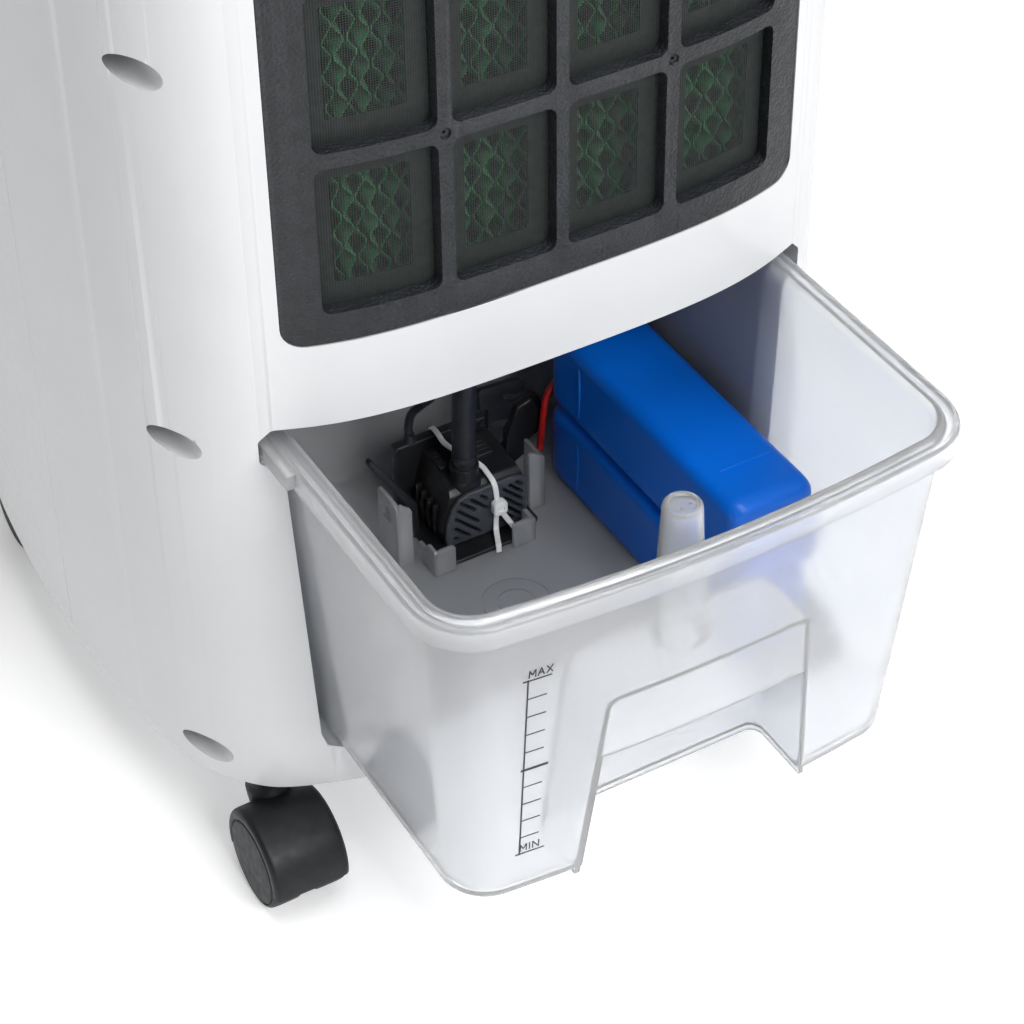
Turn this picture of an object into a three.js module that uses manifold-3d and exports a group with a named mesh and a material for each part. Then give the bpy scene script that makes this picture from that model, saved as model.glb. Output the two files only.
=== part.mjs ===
// Portable evaporative cooler with a pull-out water tank, in millimetres, +Z up.
// x runs across the machine, +y is the rear face (filter panel and tank drawer),
// -y is the front face (air outlet). The floor is z = 0.
// The tank drawer is drawn open by TANK_OPEN.
import * as THREE from 'three';
import { mergeVertices } from 'three/addons/utils/BufferGeometryUtils.js';
import Module from 'manifold-3d';

const wasm = await Module();
wasm.setup();

// ---------- driving dimensions ----------
const DEPTH = 384;            // housing, crown of the rear face to crown of the front face
const Y0 = 121.55;            // shifts the rear crown so that the whole object is centred on y = 0
const Z_BODY = 60;            // underside of the housing
const Z_SHELL_TOP = 735;      // top edge of the two shells
const Z_TOP = 770;            // top of the cover
const WALL = 3;
const GAP = 0.35;
const SEAM_Y = -178;          // front and rear shells meet here
const Z_FILTER = 326;         // lower edge of the filter panel
const FILTER_HALF = 130;
const ROWS = 4, COLS = 4, ROW_PITCH = 80.4, WIN_H = 73, WIN_FIRST = 15;
const FILTER_H = 2 * WIN_FIRST + (ROWS - 1) * ROW_PITCH + WIN_H;
const WIN_EDGES = [[-112.7, -59], [-52.4, -3.05], [3.05, 52.4], [59, 112.7]];
const DRAWER_TOP = 282.3, DRAWER_SILL = 83.5;
const TANK_OPEN = 138;        // how far the tank stands out of its closed place
const TANK_BOTTOM = 86, TANK_RIM = 275, TANK_WALL = 2.6;
const POCKET_TOP = 196, LIP_Z = 162;
const WHEEL_R = 24.5, TRAIL = 22, CASTER_X = 146, CASTER_Y = [-38, -346];
const HOSE_R = 6.2, CABLE_R = 2.4;
const OUTLET = { x: 119.6, z0: 560.4, z1: 689.6 };
const LOUVRES = 5, LOUVRE_PITCH = 24, LOUVRE_Z = 577, LOUVRE_Y = -358;
const VANES = 6, VANE_PITCH = 36, VANE_Y = -330;
const BUTTONS = 5, BUTTON_PITCH = 36, BUTTON_Y = -296, BUTTON_R = 8;

// ---------- colours ----------
const WHITE = [0xeceef0, 0.22, 0.0];
const CHARCOAL = [0x2b2e33, 0.62, 0.0];
const BLACK = [0x16171a, 0.5, 0.0];
const FROST = [0xdfe5ea, 0.35, 0.0];
const root = new THREE.Group();
const body = new THREE.Group();
body.position.set(0, Y0, 0);
root.add(body);

// ---------- helpers ----------
const V2 = (x, y) => new THREE.Vector2(x, y);
function solid(g) {
  let q = g.index ? g.toNonIndexed() : g.clone();
  for (const k of Object.keys(q.attributes)) if (k !== 'position') q.deleteAttribute(k);
  q = mergeVertices(q, 1e-4);
  return new wasm.Manifold(new wasm.Mesh({
    numProp: 3,
    vertProperties: new Float32Array(q.attributes.position.array),
    triVerts: new Uint32Array(q.index.array),
  }));
}
function geometry(m) {
  const me = m.getMesh();
  const g = new THREE.BufferGeometry();
  g.setAttribute('position', new THREE.BufferAttribute(new Float32Array(me.vertProperties), 3));
  g.setIndex(new THREE.BufferAttribute(new Uint32Array(me.triVerts), 1));
  const n = g.toNonIndexed();
  n.computeVertexNormals();
  return n;
}
function add(name, shape, [color, roughness, metalness], group = body) {
  const g = shape.isBufferGeometry ? shape : geometry(shape);
  const mesh = new THREE.Mesh(g, new THREE.MeshStandardMaterial({ color, roughness, metalness }));
  mesh.name = name;
  group.add(mesh);
  return mesh;
}
function extr(points, depth, holes = []) {
  const s = new THREE.Shape(points.map(p => V2(p[0], p[1])));
  for (const h of holes) s.holes.push(new THREE.Path(h.map(p => V2(p[0], p[1]))));
  return new THREE.ExtrudeGeometry(s, { depth, bevelEnabled: false, steps: 1 });
}
const prismZ = (pts, z0, z1, holes) => solid(extr(pts, z1 - z0, holes).translate(0, 0, z0));
const prismY = (pts, y0, y1, holes) => solid(extr(pts, y1 - y0, holes).rotateX(Math.PI / 2).translate(0, y1, 0));
const TO_X = new THREE.Matrix4().makeBasis(new THREE.Vector3(0, 1, 0), new THREE.Vector3(0, 0, 1), new THREE.Vector3(1, 0, 0));
const prismX = (pts, x0, x1, holes) => solid(extr(pts, x1 - x0, holes).applyMatrix4(TO_X).translate(x0, 0, 0));
const box = (x0, x1, y0, y1, z0, z1) => solid(new THREE.BoxGeometry(x1 - x0, y1 - y0, z1 - z0)
  .translate((x0 + x1) / 2, (y0 + y1) / 2, (z0 + z1) / 2));
const cylZ = (x, y, z0, z1, r, seg = 16, r2 = r) => solid(new THREE.CylinderGeometry(r2, r, z1 - z0, seg)
  .rotateX(Math.PI / 2).translate(x, y, (z0 + z1) / 2));
const cylY = (x, z, y0, y1, r, seg = 16) => solid(new THREE.CylinderGeometry(r, r, y1 - y0, seg)
  .translate(x, (y0 + y1) / 2, z));
const cylX = (y, z, x0, x1, r, seg = 16) => solid(new THREE.CylinderGeometry(r, r, x1 - x0, seg)
  .rotateZ(-Math.PI / 2).translate((x0 + x1) / 2, y, z));
function roundRect(a0, a1, b0, b1, r, n = 2) {
  const pts = [];
  const c = [[a1 - r, b0 + r, -90], [a1 - r, b1 - r, 0], [a0 + r, b1 - r, 90], [a0 + r, b0 + r, 180]];
  for (const [x, y, s] of c) for (let i = 0; i <= n; i++) {
    const t = (s + 90 * i / n) * Math.PI / 180;
    pts.push([x + r * Math.cos(t), y + r * Math.sin(t)]);
  }
  return pts;
}
// rings of equal length, counter-clockwise from above, bottom to top
function loft(rings) {
  const n = rings[0].length, pos = [], idx = [];
  for (const r of rings) for (const p of r) pos.push(p[0], p[1], p[2]);
  for (let k = 0; k < rings.length - 1; k++) for (let i = 0; i < n; i++) {
    const j = (i + 1) % n, a = k * n + i, b = k * n + j, c = (k + 1) * n + j, d = (k + 1) * n + i;
    idx.push(a, b, c, a, c, d);
  }
  const cap = (k, flip) => {
    const f = THREE.ShapeUtils.triangulateShape(rings[k].map(p => V2(p[0], p[1])), []);
    for (const t of f) flip ? idx.push(k * n + t[0], k * n + t[2], k * n + t[1]) : idx.push(k * n + t[0], k * n + t[1], k * n + t[2]);
  };
  cap(0, true); cap(rings.length - 1, false);
  const g = new THREE.BufferGeometry();
  g.setAttribute('position', new THREE.BufferAttribute(new Float32Array(pos), 3));
  g.setIndex(idx);
  return solid(g);
}
function tube(points, r, steps, sides = 8) {
  const curve = new THREE.CatmullRomCurve3(points.map(p => new THREE.Vector3(...p)), false, 'centripetal');
  const c = [];
  for (let i = 0; i < sides; i++) c.push(V2(r * Math.cos(2 * Math.PI * i / sides), r * Math.sin(2 * Math.PI * i / sides)));
  return solid(new THREE.ExtrudeGeometry(new THREE.Shape(c), { steps, extrudePath: curve, bevelEnabled: false }));
}

// ---------- plan outline of the housing ----------
const sag = x => -(x * x) / 6559 - 12.93 * (x / 130) ** 4;      // rear face, crown at y = 0
const quarter = [[127, sag(127)], [138, -18.8], [148.5, -24.6], [158, -33.5], [166, -44.8], [172.5, -57.5],
  [177.5, -72], [181.5, -91], [184.5, -116], [187, -150], [188, -181]];
function outline(inset = 0) {
  const half = [];
  for (const x of [0, 30, 58, 82, 101, 115]) half.push([x, sag(x)]);
  half.push(...quarter);
  const back = half.slice();
  const front = half.map(([x, y]) => [x, -DEPTH - y]).reverse();
  const right = back.concat(front);                              // from rear crown round +x to front crown
  const left = right.slice(1, -1).reverse().map(([x, y]) => [-x, y]);
  const all = right.concat(left).reverse();                      // counter-clockwise
  if (!inset) return all;
  const n = all.length;
  return all.map((p, i) => {
    const a = all[(i + n - 1) % n], b = all[(i + 1) % n];
    const tx = b[0] - a[0], ty = b[1] - a[1], l = Math.hypot(tx, ty);
    return [p[0] - (ty / l) * inset, p[1] + (tx / l) * inset];
  });
}
function band(half, front, thick, z0, z1, step = 20) {           // curved sheet that follows the rear face
  const xs = [];
  for (let x = -half; x < half - 1e-6; x += 2 * half / Math.round(2 * half / step)) xs.push(x);
  xs.push(half);
  const a = xs.map(x => [x, sag(x) + front]), b = xs.slice().reverse().map(x => [x, sag(x) + front - thick]);
  return prismZ(a.concat(b), z0, z1);
}

// ---------- housing shells ----------
const wall = prismZ(outline(), Z_BODY, Z_SHELL_TOP).subtract(prismZ(outline(WALL), Z_BODY - 1, Z_SHELL_TOP + 1));
const plan = prismZ(outline(), Z_BODY, Z_SHELL_TOP);
function drawerHole(o = 0) {
  return [[142.6 + o, 263 - o], [142.6 + o, 276], [137 + o, DRAWER_TOP + o], [-137 - o, DRAWER_TOP + o], [-142.6 - o, 276], [-142.6 - o, 263 - o],
    [-133 - o, 260 - o], [-126 - o, 92], [-124 - o, 86 - o / 2], [-119, DRAWER_SILL - o], [119, DRAWER_SILL - o], [124 + o, 86 - o / 2], [126 + o, 92], [133 + o, 260 - o]].reverse();
}
const filterHole = roundRect(-FILTER_HALF - 0.5, FILTER_HALF + 0.5, Z_FILTER - 0.5, Z_FILTER + FILTER_H + 0.5, 10.5, 3);
const filterSurround = roundRect(-FILTER_HALF - 3.5, FILTER_HALF + 3.5, Z_FILTER - 3.5, Z_FILTER + FILTER_H + 3.5, 13.5, 3);
let rear = wall.intersect(box(-200, 200, SEAM_Y + 0.2, 20, 0, 800));
// returned edges of the two openings
rear = rear.add(prismY(drawerHole(3), -32, -4).intersect(plan));
rear = rear.add(prismY(filterSurround, -22, -2).intersect(plan));
// deep screw bores that run in from the rear at the rounded corners
const SCREW_X = 169, SCREW_Z = [75, 266, 457, 648];
for (const s of [1, -1]) for (const z of SCREW_Z) rear = rear.add(cylY(s * SCREW_X, z, -104, -20, 9.6, 14).intersect(plan));
for (const s of [1, -1]) for (const z of SCREW_Z) rear = rear.subtract(cylY(s * SCREW_X, z, -101, 20, 7, 14));
rear = rear.subtract(prismY(drawerHole(), -60, 20)).subtract(prismY(filterHole, -60, 20));
rear = rear.subtract(cylX(-150, 106, -200, -150, 8.5, 14));      // hole for the mains gland
add('rear_shell', rear, WHITE);

const outletHole = roundRect(-OUTLET.x - GAP, OUTLET.x + GAP, OUTLET.z0 - GAP, OUTLET.z1 + GAP, 8 + GAP, 3);
add('front_shell', wall.intersect(box(-200, 200, -400, SEAM_Y - 0.2, 0, 800)).subtract(prismY(outletHole, -400, -330)), WHITE);

// base pan with two runners for the tank and four caster sockets
let pan = prismZ(outline(WALL + GAP), Z_BODY + 0.5, 64.5);
for (const s of [1, -1]) pan = pan.add(box(s * 88 - 6, s * 88 + 6, -345, -34, 63, 85.6));
const inPan = prismZ(outline(WALL + GAP), 58, 90);
for (const s of [1, -1]) for (const y of CASTER_Y) {
  pan = pan.add(cylZ(s * CASTER_X, y, 62, 85, 10, 12).intersect(inPan)).subtract(cylZ(s * CASTER_X, y, 55, 82.6, 5.9, 12));
}
add('base_pan', pan, WHITE);

// liner of the tank bay: two side walls and the deck over the tank
let liner = box(-147, 147, -345, -34.5, 86.2, 288.8).subtract(box(-144.6, 144.6, -360, -20, 60, 286.2));
liner = liner.subtract(box(-24, 20, -140, -78, 280, 295)).subtract(box(-100, 100, -58, -38, 280, 295));
add('bay_liner', liner, [0xc9cfd6, 0.4, 0]);

// top cover, hollow, open underneath
const lift = (pts, z) => pts.map(p => [p[0], p[1], z]);
let cover = loft([lift(outline(0), Z_SHELL_TOP + GAP), lift(outline(0), 754), lift(outline(3.2), 764.5), lift(outline(11), Z_TOP)]);
cover = cover.subtract(loft([lift(outline(WALL), Z_SHELL_TOP - 1), lift(outline(WALL), 754), lift(outline(13), Z_TOP - WALL)]));
cover = cover.subtract(prismZ(roundRect(-105, 105, -330, -262, 6, 2), 760, 780));
add('top_cover', cover, WHITE);

// control panel: it fills the opening from below, with a flange under the cover
let panel = prismZ(roundRect(-104.6, 104.6, -329.6, -262.4, 5.6, 2), 763, Z_TOP + 0.2)
  .add(prismZ(roundRect(-110, 110, -335, -257, 6, 2), 758, 766.6));
for (let i = 0; i < BUTTONS; i++) panel = panel.subtract(cylZ((i - 2) * BUTTON_PITCH, BUTTON_Y, 750, 780, BUTTON_R + 0.4, 14));
add('control_panel', panel, [0x1b1d21, 0.18, 0]);
for (let i = 0; i < BUTTONS; i++) {
  const x = (i - 2) * BUTTON_PITCH;
  add(`button_${i + 1}`, cylZ(x, BUTTON_Y, 756, Z_TOP + 1.8, BUTTON_R, 14).add(cylZ(x, BUTTON_Y, 754.5, 757.6, BUTTON_R + 1.6, 14)), [0xb9bec4, 0.35, 0]);
}

// ---------- air outlet ----------
const frontSide = (() => {                                       // everything behind the front face
  const xs = [-140, -125, -112, -95, -75, -50, -25, 0, 25, 50, 75, 95, 112, 125, 140];
  return prismZ(xs.map(x => [x, -DEPTH - sag(x)]).concat([[140, -200], [-140, -200]]), 500, 720);
})();
const oRing = prismY(roundRect(-OUTLET.x, OUTLET.x, OUTLET.z0, OUTLET.z1, 8, 3), -400, -312)
  .subtract(prismY(roundRect(-OUTLET.x + 5, OUTLET.x - 5, OUTLET.z0 + 5, OUTLET.z1 - 5, 3, 1), -410, -300));
let outlet = oRing.intersect(frontSide);
for (let i = 0; i < LOUVRES; i++) outlet = outlet.subtract(cylX(LOUVRE_Y, LOUVRE_Z + i * LOUVRE_PITCH, -130, 130, 2.4, 8));
for (let i = 0; i < VANES; i++) outlet = outlet.subtract(cylZ((i - (VANES - 1) / 2) * VANE_PITCH, VANE_Y, 550, 700, 2.2, 8));
add('outlet_frame', outlet, CHARCOAL);
const airfoil = (c, t) => [[-c, 0], [-c * 0.7, -t * 0.8], [0, -t], [c * 0.7, -t * 0.8], [c, 0], [c * 0.7, t * 0.8], [0, t], [-c * 0.7, t * 0.8]];
for (let i = 0; i < LOUVRES; i++) {
  const z = LOUVRE_Z + i * LOUVRE_PITCH;
  const blade = prismX(airfoil(11, 1.5).map(([a, b]) => [LOUVRE_Y + a, z + b]), -113.8, 113.8);
  add(`louvre_${i + 1}`, blade.add(cylX(LOUVRE_Y, z, -118, 118, 1.9, 8)), WHITE);
}
for (let i = 0; i < VANES; i++) {
  const x = (i - (VANES - 1) / 2) * VANE_PITCH;
  const blade = prismZ(airfoil(11.5, 1.2).map(([a, b]) => [x - b, VANE_Y + a]), 566.2, 683.8);
  add(`vane_${i + 1}`, blade.add(cylZ(x, VANE_Y, 562, 688, 1.7, 8)), CHARCOAL);
}

// ---------- filter panel, mesh, cooling pad ----------
let frame = band(FILTER_HALF, -0.3, 7, Z_FILTER, Z_FILTER + FILTER_H, 26)
  .intersect(prismY(roundRect(-FILTER_HALF, FILTER_HALF, Z_FILTER, Z_FILTER + FILTER_H, 10, 3), -60, 20));
for (const [a, b] of WIN_EDGES) for (let r = 0; r < ROWS; r++) {
  const z = Z_FILTER + WIN_FIRST + r * ROW_PITCH;
  frame = frame.subtract(prismY(roundRect(a, b, z, z + WIN_H, 4.5, 2), -60, 20));
}
add('filter_frame', frame, CHARCOAL);
add('filter_mesh', band(118, -8.3, 0.8, Z_FILTER + 8, Z_FILTER + FILTER_H - 8, 26), [0x1a1d1b, 0.8, 0]);
const PAD_Z0 = 333.5, PAD_Z1 = 662.5;
add('cooling_pad', box(-116.6, 116.6, -62, -24, PAD_Z0 + 0.8, PAD_Z1 - 0.8), [0x2f6b3c, 0.95, 0]);
add('pad_carrier', prismY(roundRect(-120.5, 120.5, 289.3, 667, 3, 1), -63, -23,
  [roundRect(-117.3, 117.3, PAD_Z0, PAD_Z1, 1, 1).reverse(), roundRect(-114, 114, 294, 329.5, 3, 1).reverse()]), WHITE);
add('water_tray', box(-120, 120, -63, -23, 667.5, 694).subtract(box(-117.5, 117.5, -60.5, -25.5, 670, 700)), [0xd5dade, 0.4, 0]);

// ---------- blower ----------
const BZ = 440, BR = 78;
const spiral = (o) => {
  const pts = [];
  for (let i = 0; i <= 22; i++) {
    const t = i / 22 * 1.5 * Math.PI, r = BR + 10 + 26 * i / 22 + o;
    pts.push([r * Math.cos(-t) , BZ + r * Math.sin(-t)]);
  }
  return pts;
};
const scrollOutline = (o) => {
  const s = spiral(o);                                           // starts at +x, runs clockwise under the wheel, ends on top
  return [[BR + 10 + o, 688 + o - 3]].concat(s, [[-30 - o, BZ + 120 + o], [-30 - o, 688 + o - 3]]);
};
let scroll = prismY(scrollOutline(0), -226, -152).subtract(prismY(scrollOutline(-2.5), -223.5, -154.5));
scroll = scroll.subtract(cylY(0, BZ, -160, -150, 58, 24));       // inlet eye
scroll = scroll.subtract(cylY(0, BZ, -230, -220, 7, 12));        // shaft hole
scroll = scroll.subtract(box(-24, 82, -232, -220, 575, 680));    // outlet towards the louvres
add('blower_housing', scroll, [0x9aa0a6, 0.55, 0]);
let wheel = cylY(0, BZ, -218, -215, 74, 24);
wheel = wheel.add(cylY(0, BZ, -167, -163.5, 74, 24).subtract(cylY(0, BZ, -168, -160, 61, 24)));
for (let i = 0; i < 12; i++) {
  const b = solid(new THREE.BoxGeometry(11, 50, 1.6).rotateY(-0.5).translate(67.5, -190.5, 0).rotateY(2 * Math.PI * i / 12).translate(0, 0, BZ));
  wheel = wheel.add(b);
}
wheel = wheel.add(cylY(0, BZ, -217, -196, 12, 12)).add(cylY(0, BZ, -240, -214, 4.5, 10));
add('blower_wheel', wheel, BLACK);
add('fan_motor', cylY(0, BZ, -276, -227, 40, 20).subtract(cylY(0, BZ, -241, -220, 5, 10)), [0x8c9096, 0.35, 0.8]);
add('mains_gland', (() => {
  return cylX(-150, 106, -186.8, -174, 8.1, 14).add(cylX(-150, 106, -182.6, -179.5, 11, 14)).subtract(cylX(-150, 106, -200, -170, 3.2, 10));
})(), BLACK);

// ---------- water tank ----------
function tankRing(xh, yF, yR, rF, rR, z, bow = 10) {
  const pts = [], n = 4, cx = xh - rF, bowAt = x => bow * (x / xh) ** 2;
  const yc = yF - bowAt(cx) - rF;
  const arcPts = (x, y, r, a0) => { for (let i = 0; i <= n; i++) { const t = (a0 + 90 * i / n) * Math.PI / 180; pts.push([x + r * Math.cos(t), y + r * Math.sin(t), z]); } };
  arcPts(cx, yc, rF, 0);
  for (let i = 1; i <= 5; i++) { const x = cx - 2 * cx * i / 6; pts.push([x, yF - bowAt(x), z]); }
  arcPts(-cx, yc, rF, 90);
  arcPts(-xh + rR, yR + rR, rR, 180);
  arcPts(xh - rR, yR + rR, rR, 270);
  return pts;
}
const lerp = (a, b, t) => a + (b - a) * t;
const side = (z, o) => {                                         // outer skin at height z, moved inwards by o
  const t = (z - 91) / (264 - 91);
  return [lerp(119.3, 131, t) - o, lerp(120, 134.5, t) - o, lerp(-186, -192.5, t) + o];
};
const ringAt = (z, o, zz = z) => { const [x, f, r] = side(z, o); return tankRing(x, f, r, Math.max(8, lerp(24, 27, (z - 91) / 173) - o), Math.max(6, 16 - o), zz, lerp(8, 10, (z - 91) / 173)); };
const outer = loft([ringAt(91, 5.5, TANK_BOTTOM), ringAt(91, 1.6, 87.8), ringAt(91, 0), ringAt(263, 0), ringAt(263.2, 0.01, 263.9),
  tankRing(137.8, 140.9, -198, 31, 20, 264.4), tankRing(136.2, 140.4, -198, 31, 20, TANK_RIM)]);
const W = TANK_WALL;
const inner = loft([ringAt(91, 6.5, TANK_BOTTOM + W), ringAt(93, W + 1.5, 90.6), ringAt(96, W), ringAt(262, W), tankRing(126.6, 131.2, -189.5, 22, 12, 268), tankRing(126.6, 131.2, -189.5, 22, 12, TANK_RIM + 5)]);
const pocketRing = (hx, y, z) => [[hx, y, z], [hx, 160, z], [-hx, 160, z], [-hx, y, z]];
const pocketVoid = loft([pocketRing(61, 79, 80), pocketRing(50.5, 85.8, POCKET_TOP)]);
const pocketSkin = loft([pocketRing(61 + W, 79 - W, 80), pocketRing(50.5 + W, 85.8 - W, POCKET_TOP + W)]);
const innerFull = loft([ringAt(91, 6.5, 84), ringAt(91, W, 85), ringAt(96, W), ringAt(262, W), tankRing(126.6, 131.2, -189.5, 22, 12, 268), tankRing(126.6, 131.2, -189.5, 22, 12, TANK_RIM + 5)]);
let tank = outer.subtract(inner.subtract(pocketSkin));
// hollow post on the roof of the grip pocket
const POST = [2, 103];
tank = tank.add(cylZ(...POST, POCKET_TOP + 1, 271.5, 12.2, 16, 8.8));
tank = tank.subtract(cylZ(...POST, POCKET_TOP - 1, 268.5, 9.4, 16, 6.4));
tank = tank.subtract(pocketVoid.intersect(innerFull));
tank = tank.subtract(pocketVoid.intersect(box(-70, 70, 60, 160, 70, LIP_Z)));
// ribs that locate the pump
const FLOOR = TANK_BOTTOM + W;
for (const b of [
  [33, 35.4, -125, -104.2, 129.5], [26.4, 34, -106.6, -104.2, 127.6],
  [20.2, 22.6, -107, -89, 104.5], [10.2, 21.5, -90.9, -88.6, 104.5],
  [-36.6, -34.2, -99, -88, 103], [-36, -23.5, -90.4, -88, 103.6],
  [-55, -45.6, -112.2, -109.7, 118.6], [-55, -52.6, -128, -110.6, 118.6],
]) tank = tank.add(box(b[0], b[1], b[2], b[3], FLOOR - 1, b[4]));
add('tank', tank, FROST);

// ---------- ice packs ----------
const packs = [[-116.4, -69.4, FLOOR + 0.35, 136.9], [-118, -70, 137.4, 186.6]];
packs.forEach(([x0, x1, z0, z1], i) => add(`ice_pack_${i + 1}`,
  prismY(roundRect(x0, x1, z0, z1, 5.5, 3), -132, 40), [0x0d57c4, 0.3, 0]));

// ---------- pump ----------
const PZ = FLOOR + 0.4;
add('pump_base', box(-33.8, 16.5, -148, -91.2, PZ, PZ + 2.4).add(box(-45.2, -33, -118, -99.4, PZ, PZ + 2.4))
  .add(prismY([[14, PZ + 1], [18.6, PZ + 1], [19.2, PZ + 21], [42, PZ + 60.6], [40, PZ + 62.6], [14, PZ + 23]], -124, -119)), BLACK);
const chamber = prismX([[-139.2, PZ + 2.8], [-104.9, PZ + 2.8], [-104.9, PZ + 33], [-108, PZ + 35.4], [-124, PZ + 39.5], [-139.2, PZ + 40.5]], -39, 8.6)
  .intersect(prismY([[-39, PZ], [7.6, PZ], [8.6, PZ + 10], [7.3, PZ + 18.5], [4.7, PZ + 30], [0, PZ + 42], [-35, PZ + 42], [-39, PZ + 30]], -140, -104));
add('pump_body', chamber.add(box(-36, 17, -144.5, -139, PZ + 2.8, PZ + 47)).add(cylZ(-8.3, -112, PZ + 30, PZ + 46, 7.2, 14))
  .subtract(cylZ(-8.3, -112, PZ + 40, PZ + 50, 4, 10)), BLACK);
let grille = prismY([[-39.3, PZ + 3], [7.4, PZ + 3], [8.4, PZ + 10], [7.3, PZ + 18.5], [4.7, PZ + 26.9], [0.5, PZ + 31.8], [-4.9, PZ + 33.6], [-31, PZ + 34.2], [-36.9, PZ + 32.6], [-39.3, PZ + 29]], -104.4, -101.8);
for (let i = 0; i < 5; i++) {
  grille = grille.subtract(solid(new THREE.BoxGeometry(13, 8, 2.2).rotateY(0.5).translate(-26.5, -103, PZ + 13 + i * 4.6 - (i > 3 ? 1.2 : 0))));
  if (i < 4) grille = grille.subtract(solid(new THREE.BoxGeometry(12, 8, 2.2).rotateY(0.5).translate(-7.5, -103, PZ + 12.4 + i * 4.6)));
}
add('pump_grille', grille, CHARCOAL);
add('pump_bracket', prismY([[-36.4, PZ + 2.8], [-36.4, PZ + 47.6], [-35, PZ + 48], [-34.6, PZ + 60], [-38.2, PZ + 61.2], [-55.7, PZ + 60.2], [-60.8, PZ + 57], [-62.9, PZ + 52.2], [-61.1, PZ + 50.8],
  [-51.4, PZ + 52.9], [-49, PZ + 51.4], [-50.4, PZ + 48.4], [-57.5, PZ + 46], [-66, PZ + 47.4], [-72.1, PZ + 40.2], [-72.1, PZ + 30], [-62.6, PZ + 20.8], [-60, PZ + 12.2], [-48.5, PZ + 6.3], [-44, PZ + 2.8]], -146, -142.6,
  [[[-42, PZ + 38], [-42, PZ + 25.5], [-47.2, PZ + 17.2], [-50.3, PZ + 19.4], [-50.4, PZ + 27.5], [-55.6, PZ + 36]].reverse()])
  .subtract(box(-40, -30, -147, -138.9, 0, PZ + 47.3))
  .add(prismY([[-48, PZ + 26], [-55, PZ + 45.1], [-63.7, PZ + 47.8], [-73.1, PZ + 30], [-69.6, PZ + 24.7], [-62.6, PZ + 20.8], [-60, PZ + 12.2], [-48.5, PZ + 6.3]], -143, -138.6)), BLACK);
const HOSE = [[-8.3, -112, PZ + 46.4], [-8.5, -111.6, 165], [-8.8, -109.5, 190], [-8.4, -106, 230], [-7.4, -103, 270], [-7, -102, 310], [-7, -102, 480], [-7, -102, 690], [-7, -92, 709], [-7, -70, 717], [-7, -50, 712]];
add('pump_hose', tube(HOSE, HOSE_R, 40, 10), BLACK);
const CABLE = [[7.3, -141.7, PZ + 47.4], [6.9, -142.6, 145], [5.3, -142, 152], [1.5, -138.6, 158.5], [-2, -134, 165], [-4, -128, 175], [-4, -119, 198], [1, -111, 240], [8, -104, 290], [12, -100, 400], [14, -110, 520]];
add('pump_cable', tube(CABLE, CABLE_R, 30, 8), BLACK);
// cable tie: a strap over the front of the pump with its head and tail
add('cable_tie', prismX([[-101.2, PZ + 4], [-99.9, PZ + 4], [-99.9, PZ + 36.8], [-104, PZ + 38.4], [-112, PZ + 40.6], [-112, PZ + 39.3], [-104.6, PZ + 37.1], [-101.2, PZ + 35.6]], -23.6, -20.4)
  .add(box(-25.4, -17.4, -101.4, -96.6, PZ + 16.4, PZ + 24.4))
  .add(solid(new THREE.BoxGeometry(3, 1.3, 17).rotateY(0.6).translate(-27.4, -98.2, PZ + 10.4))), [0xf0f1ee, 0.45, 0]);
add('float_lead', tube([[-66.5, -134.9, 104], [-69, -134.9, 128], [-70.4, -134.9, 136.5], [-72.6, -134.9, 141.5], [-76.5, -134.9, 145], [-82, -134.9, 147]], 1.9, 12, 8), [0xc0161c, 0.4, 0]);

// ---------- casters ----------
let n = 0;
for (const s of [1, -1]) for (const y of CASTER_Y) {
  n++;
  const g = new THREE.Group();
  g.position.set(s * CASTER_X, y, 0);
  body.add(g);
  const hoodArc = (r, a0, a1, k) => { const p = []; for (let i = 0; i <= k; i++) { const t = (a0 + (a1 - a0) * i / k) * Math.PI / 180; p.push([TRAIL + r * Math.cos(t), WHEEL_R + r * Math.sin(t)]); } return p; };
  let fork = prismX(hoodArc(27.6, -8, 196, 12).concat(hoodArc(25.2, 196, -8, 12)), -19.8, 19.8);
  fork = fork.add(prismX([[TRAIL + 4, WHEEL_R - 6], [TRAIL + 6, WHEEL_R + 4], [TRAIL + 4, WHEEL_R + 26], [-4, WHEEL_R + 22], [-7, WHEEL_R + 10], [-7, WHEEL_R - 2], [TRAIL - 5, WHEEL_R - 6]], -3, 3));
  fork = fork.add(cylZ(0, 0, 18, 60, 8.4, 10).subtract(solid(new THREE.CylinderGeometry(25.2, 25.2, 60, 16).rotateZ(Math.PI / 2).translate(0, TRAIL, WHEEL_R)).subtract(box(-3, 3, -60, 60, -10, 90)))).add(cylZ(0, 0, 55, 81, 5.4, 10));
  fork = fork.subtract(cylX(TRAIL, WHEEL_R, -10, 10, 3.5, 10));
  add(`caster_${n}_hood`, fork, BLACK, g);
  const disc = (a, b) => cylX(TRAIL, WHEEL_R, a, b, WHEEL_R, 22);
  add(`caster_${n}_wheel`, disc(4, 19).add(disc(-19, -4)).add(cylX(TRAIL, WHEEL_R, -8, 8, 3.1, 10)), BLACK, g);
}

export default root;
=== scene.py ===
import math
import random
import bpy
import bmesh
import numpy as np
from mathutils import Vector, Matrix


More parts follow.
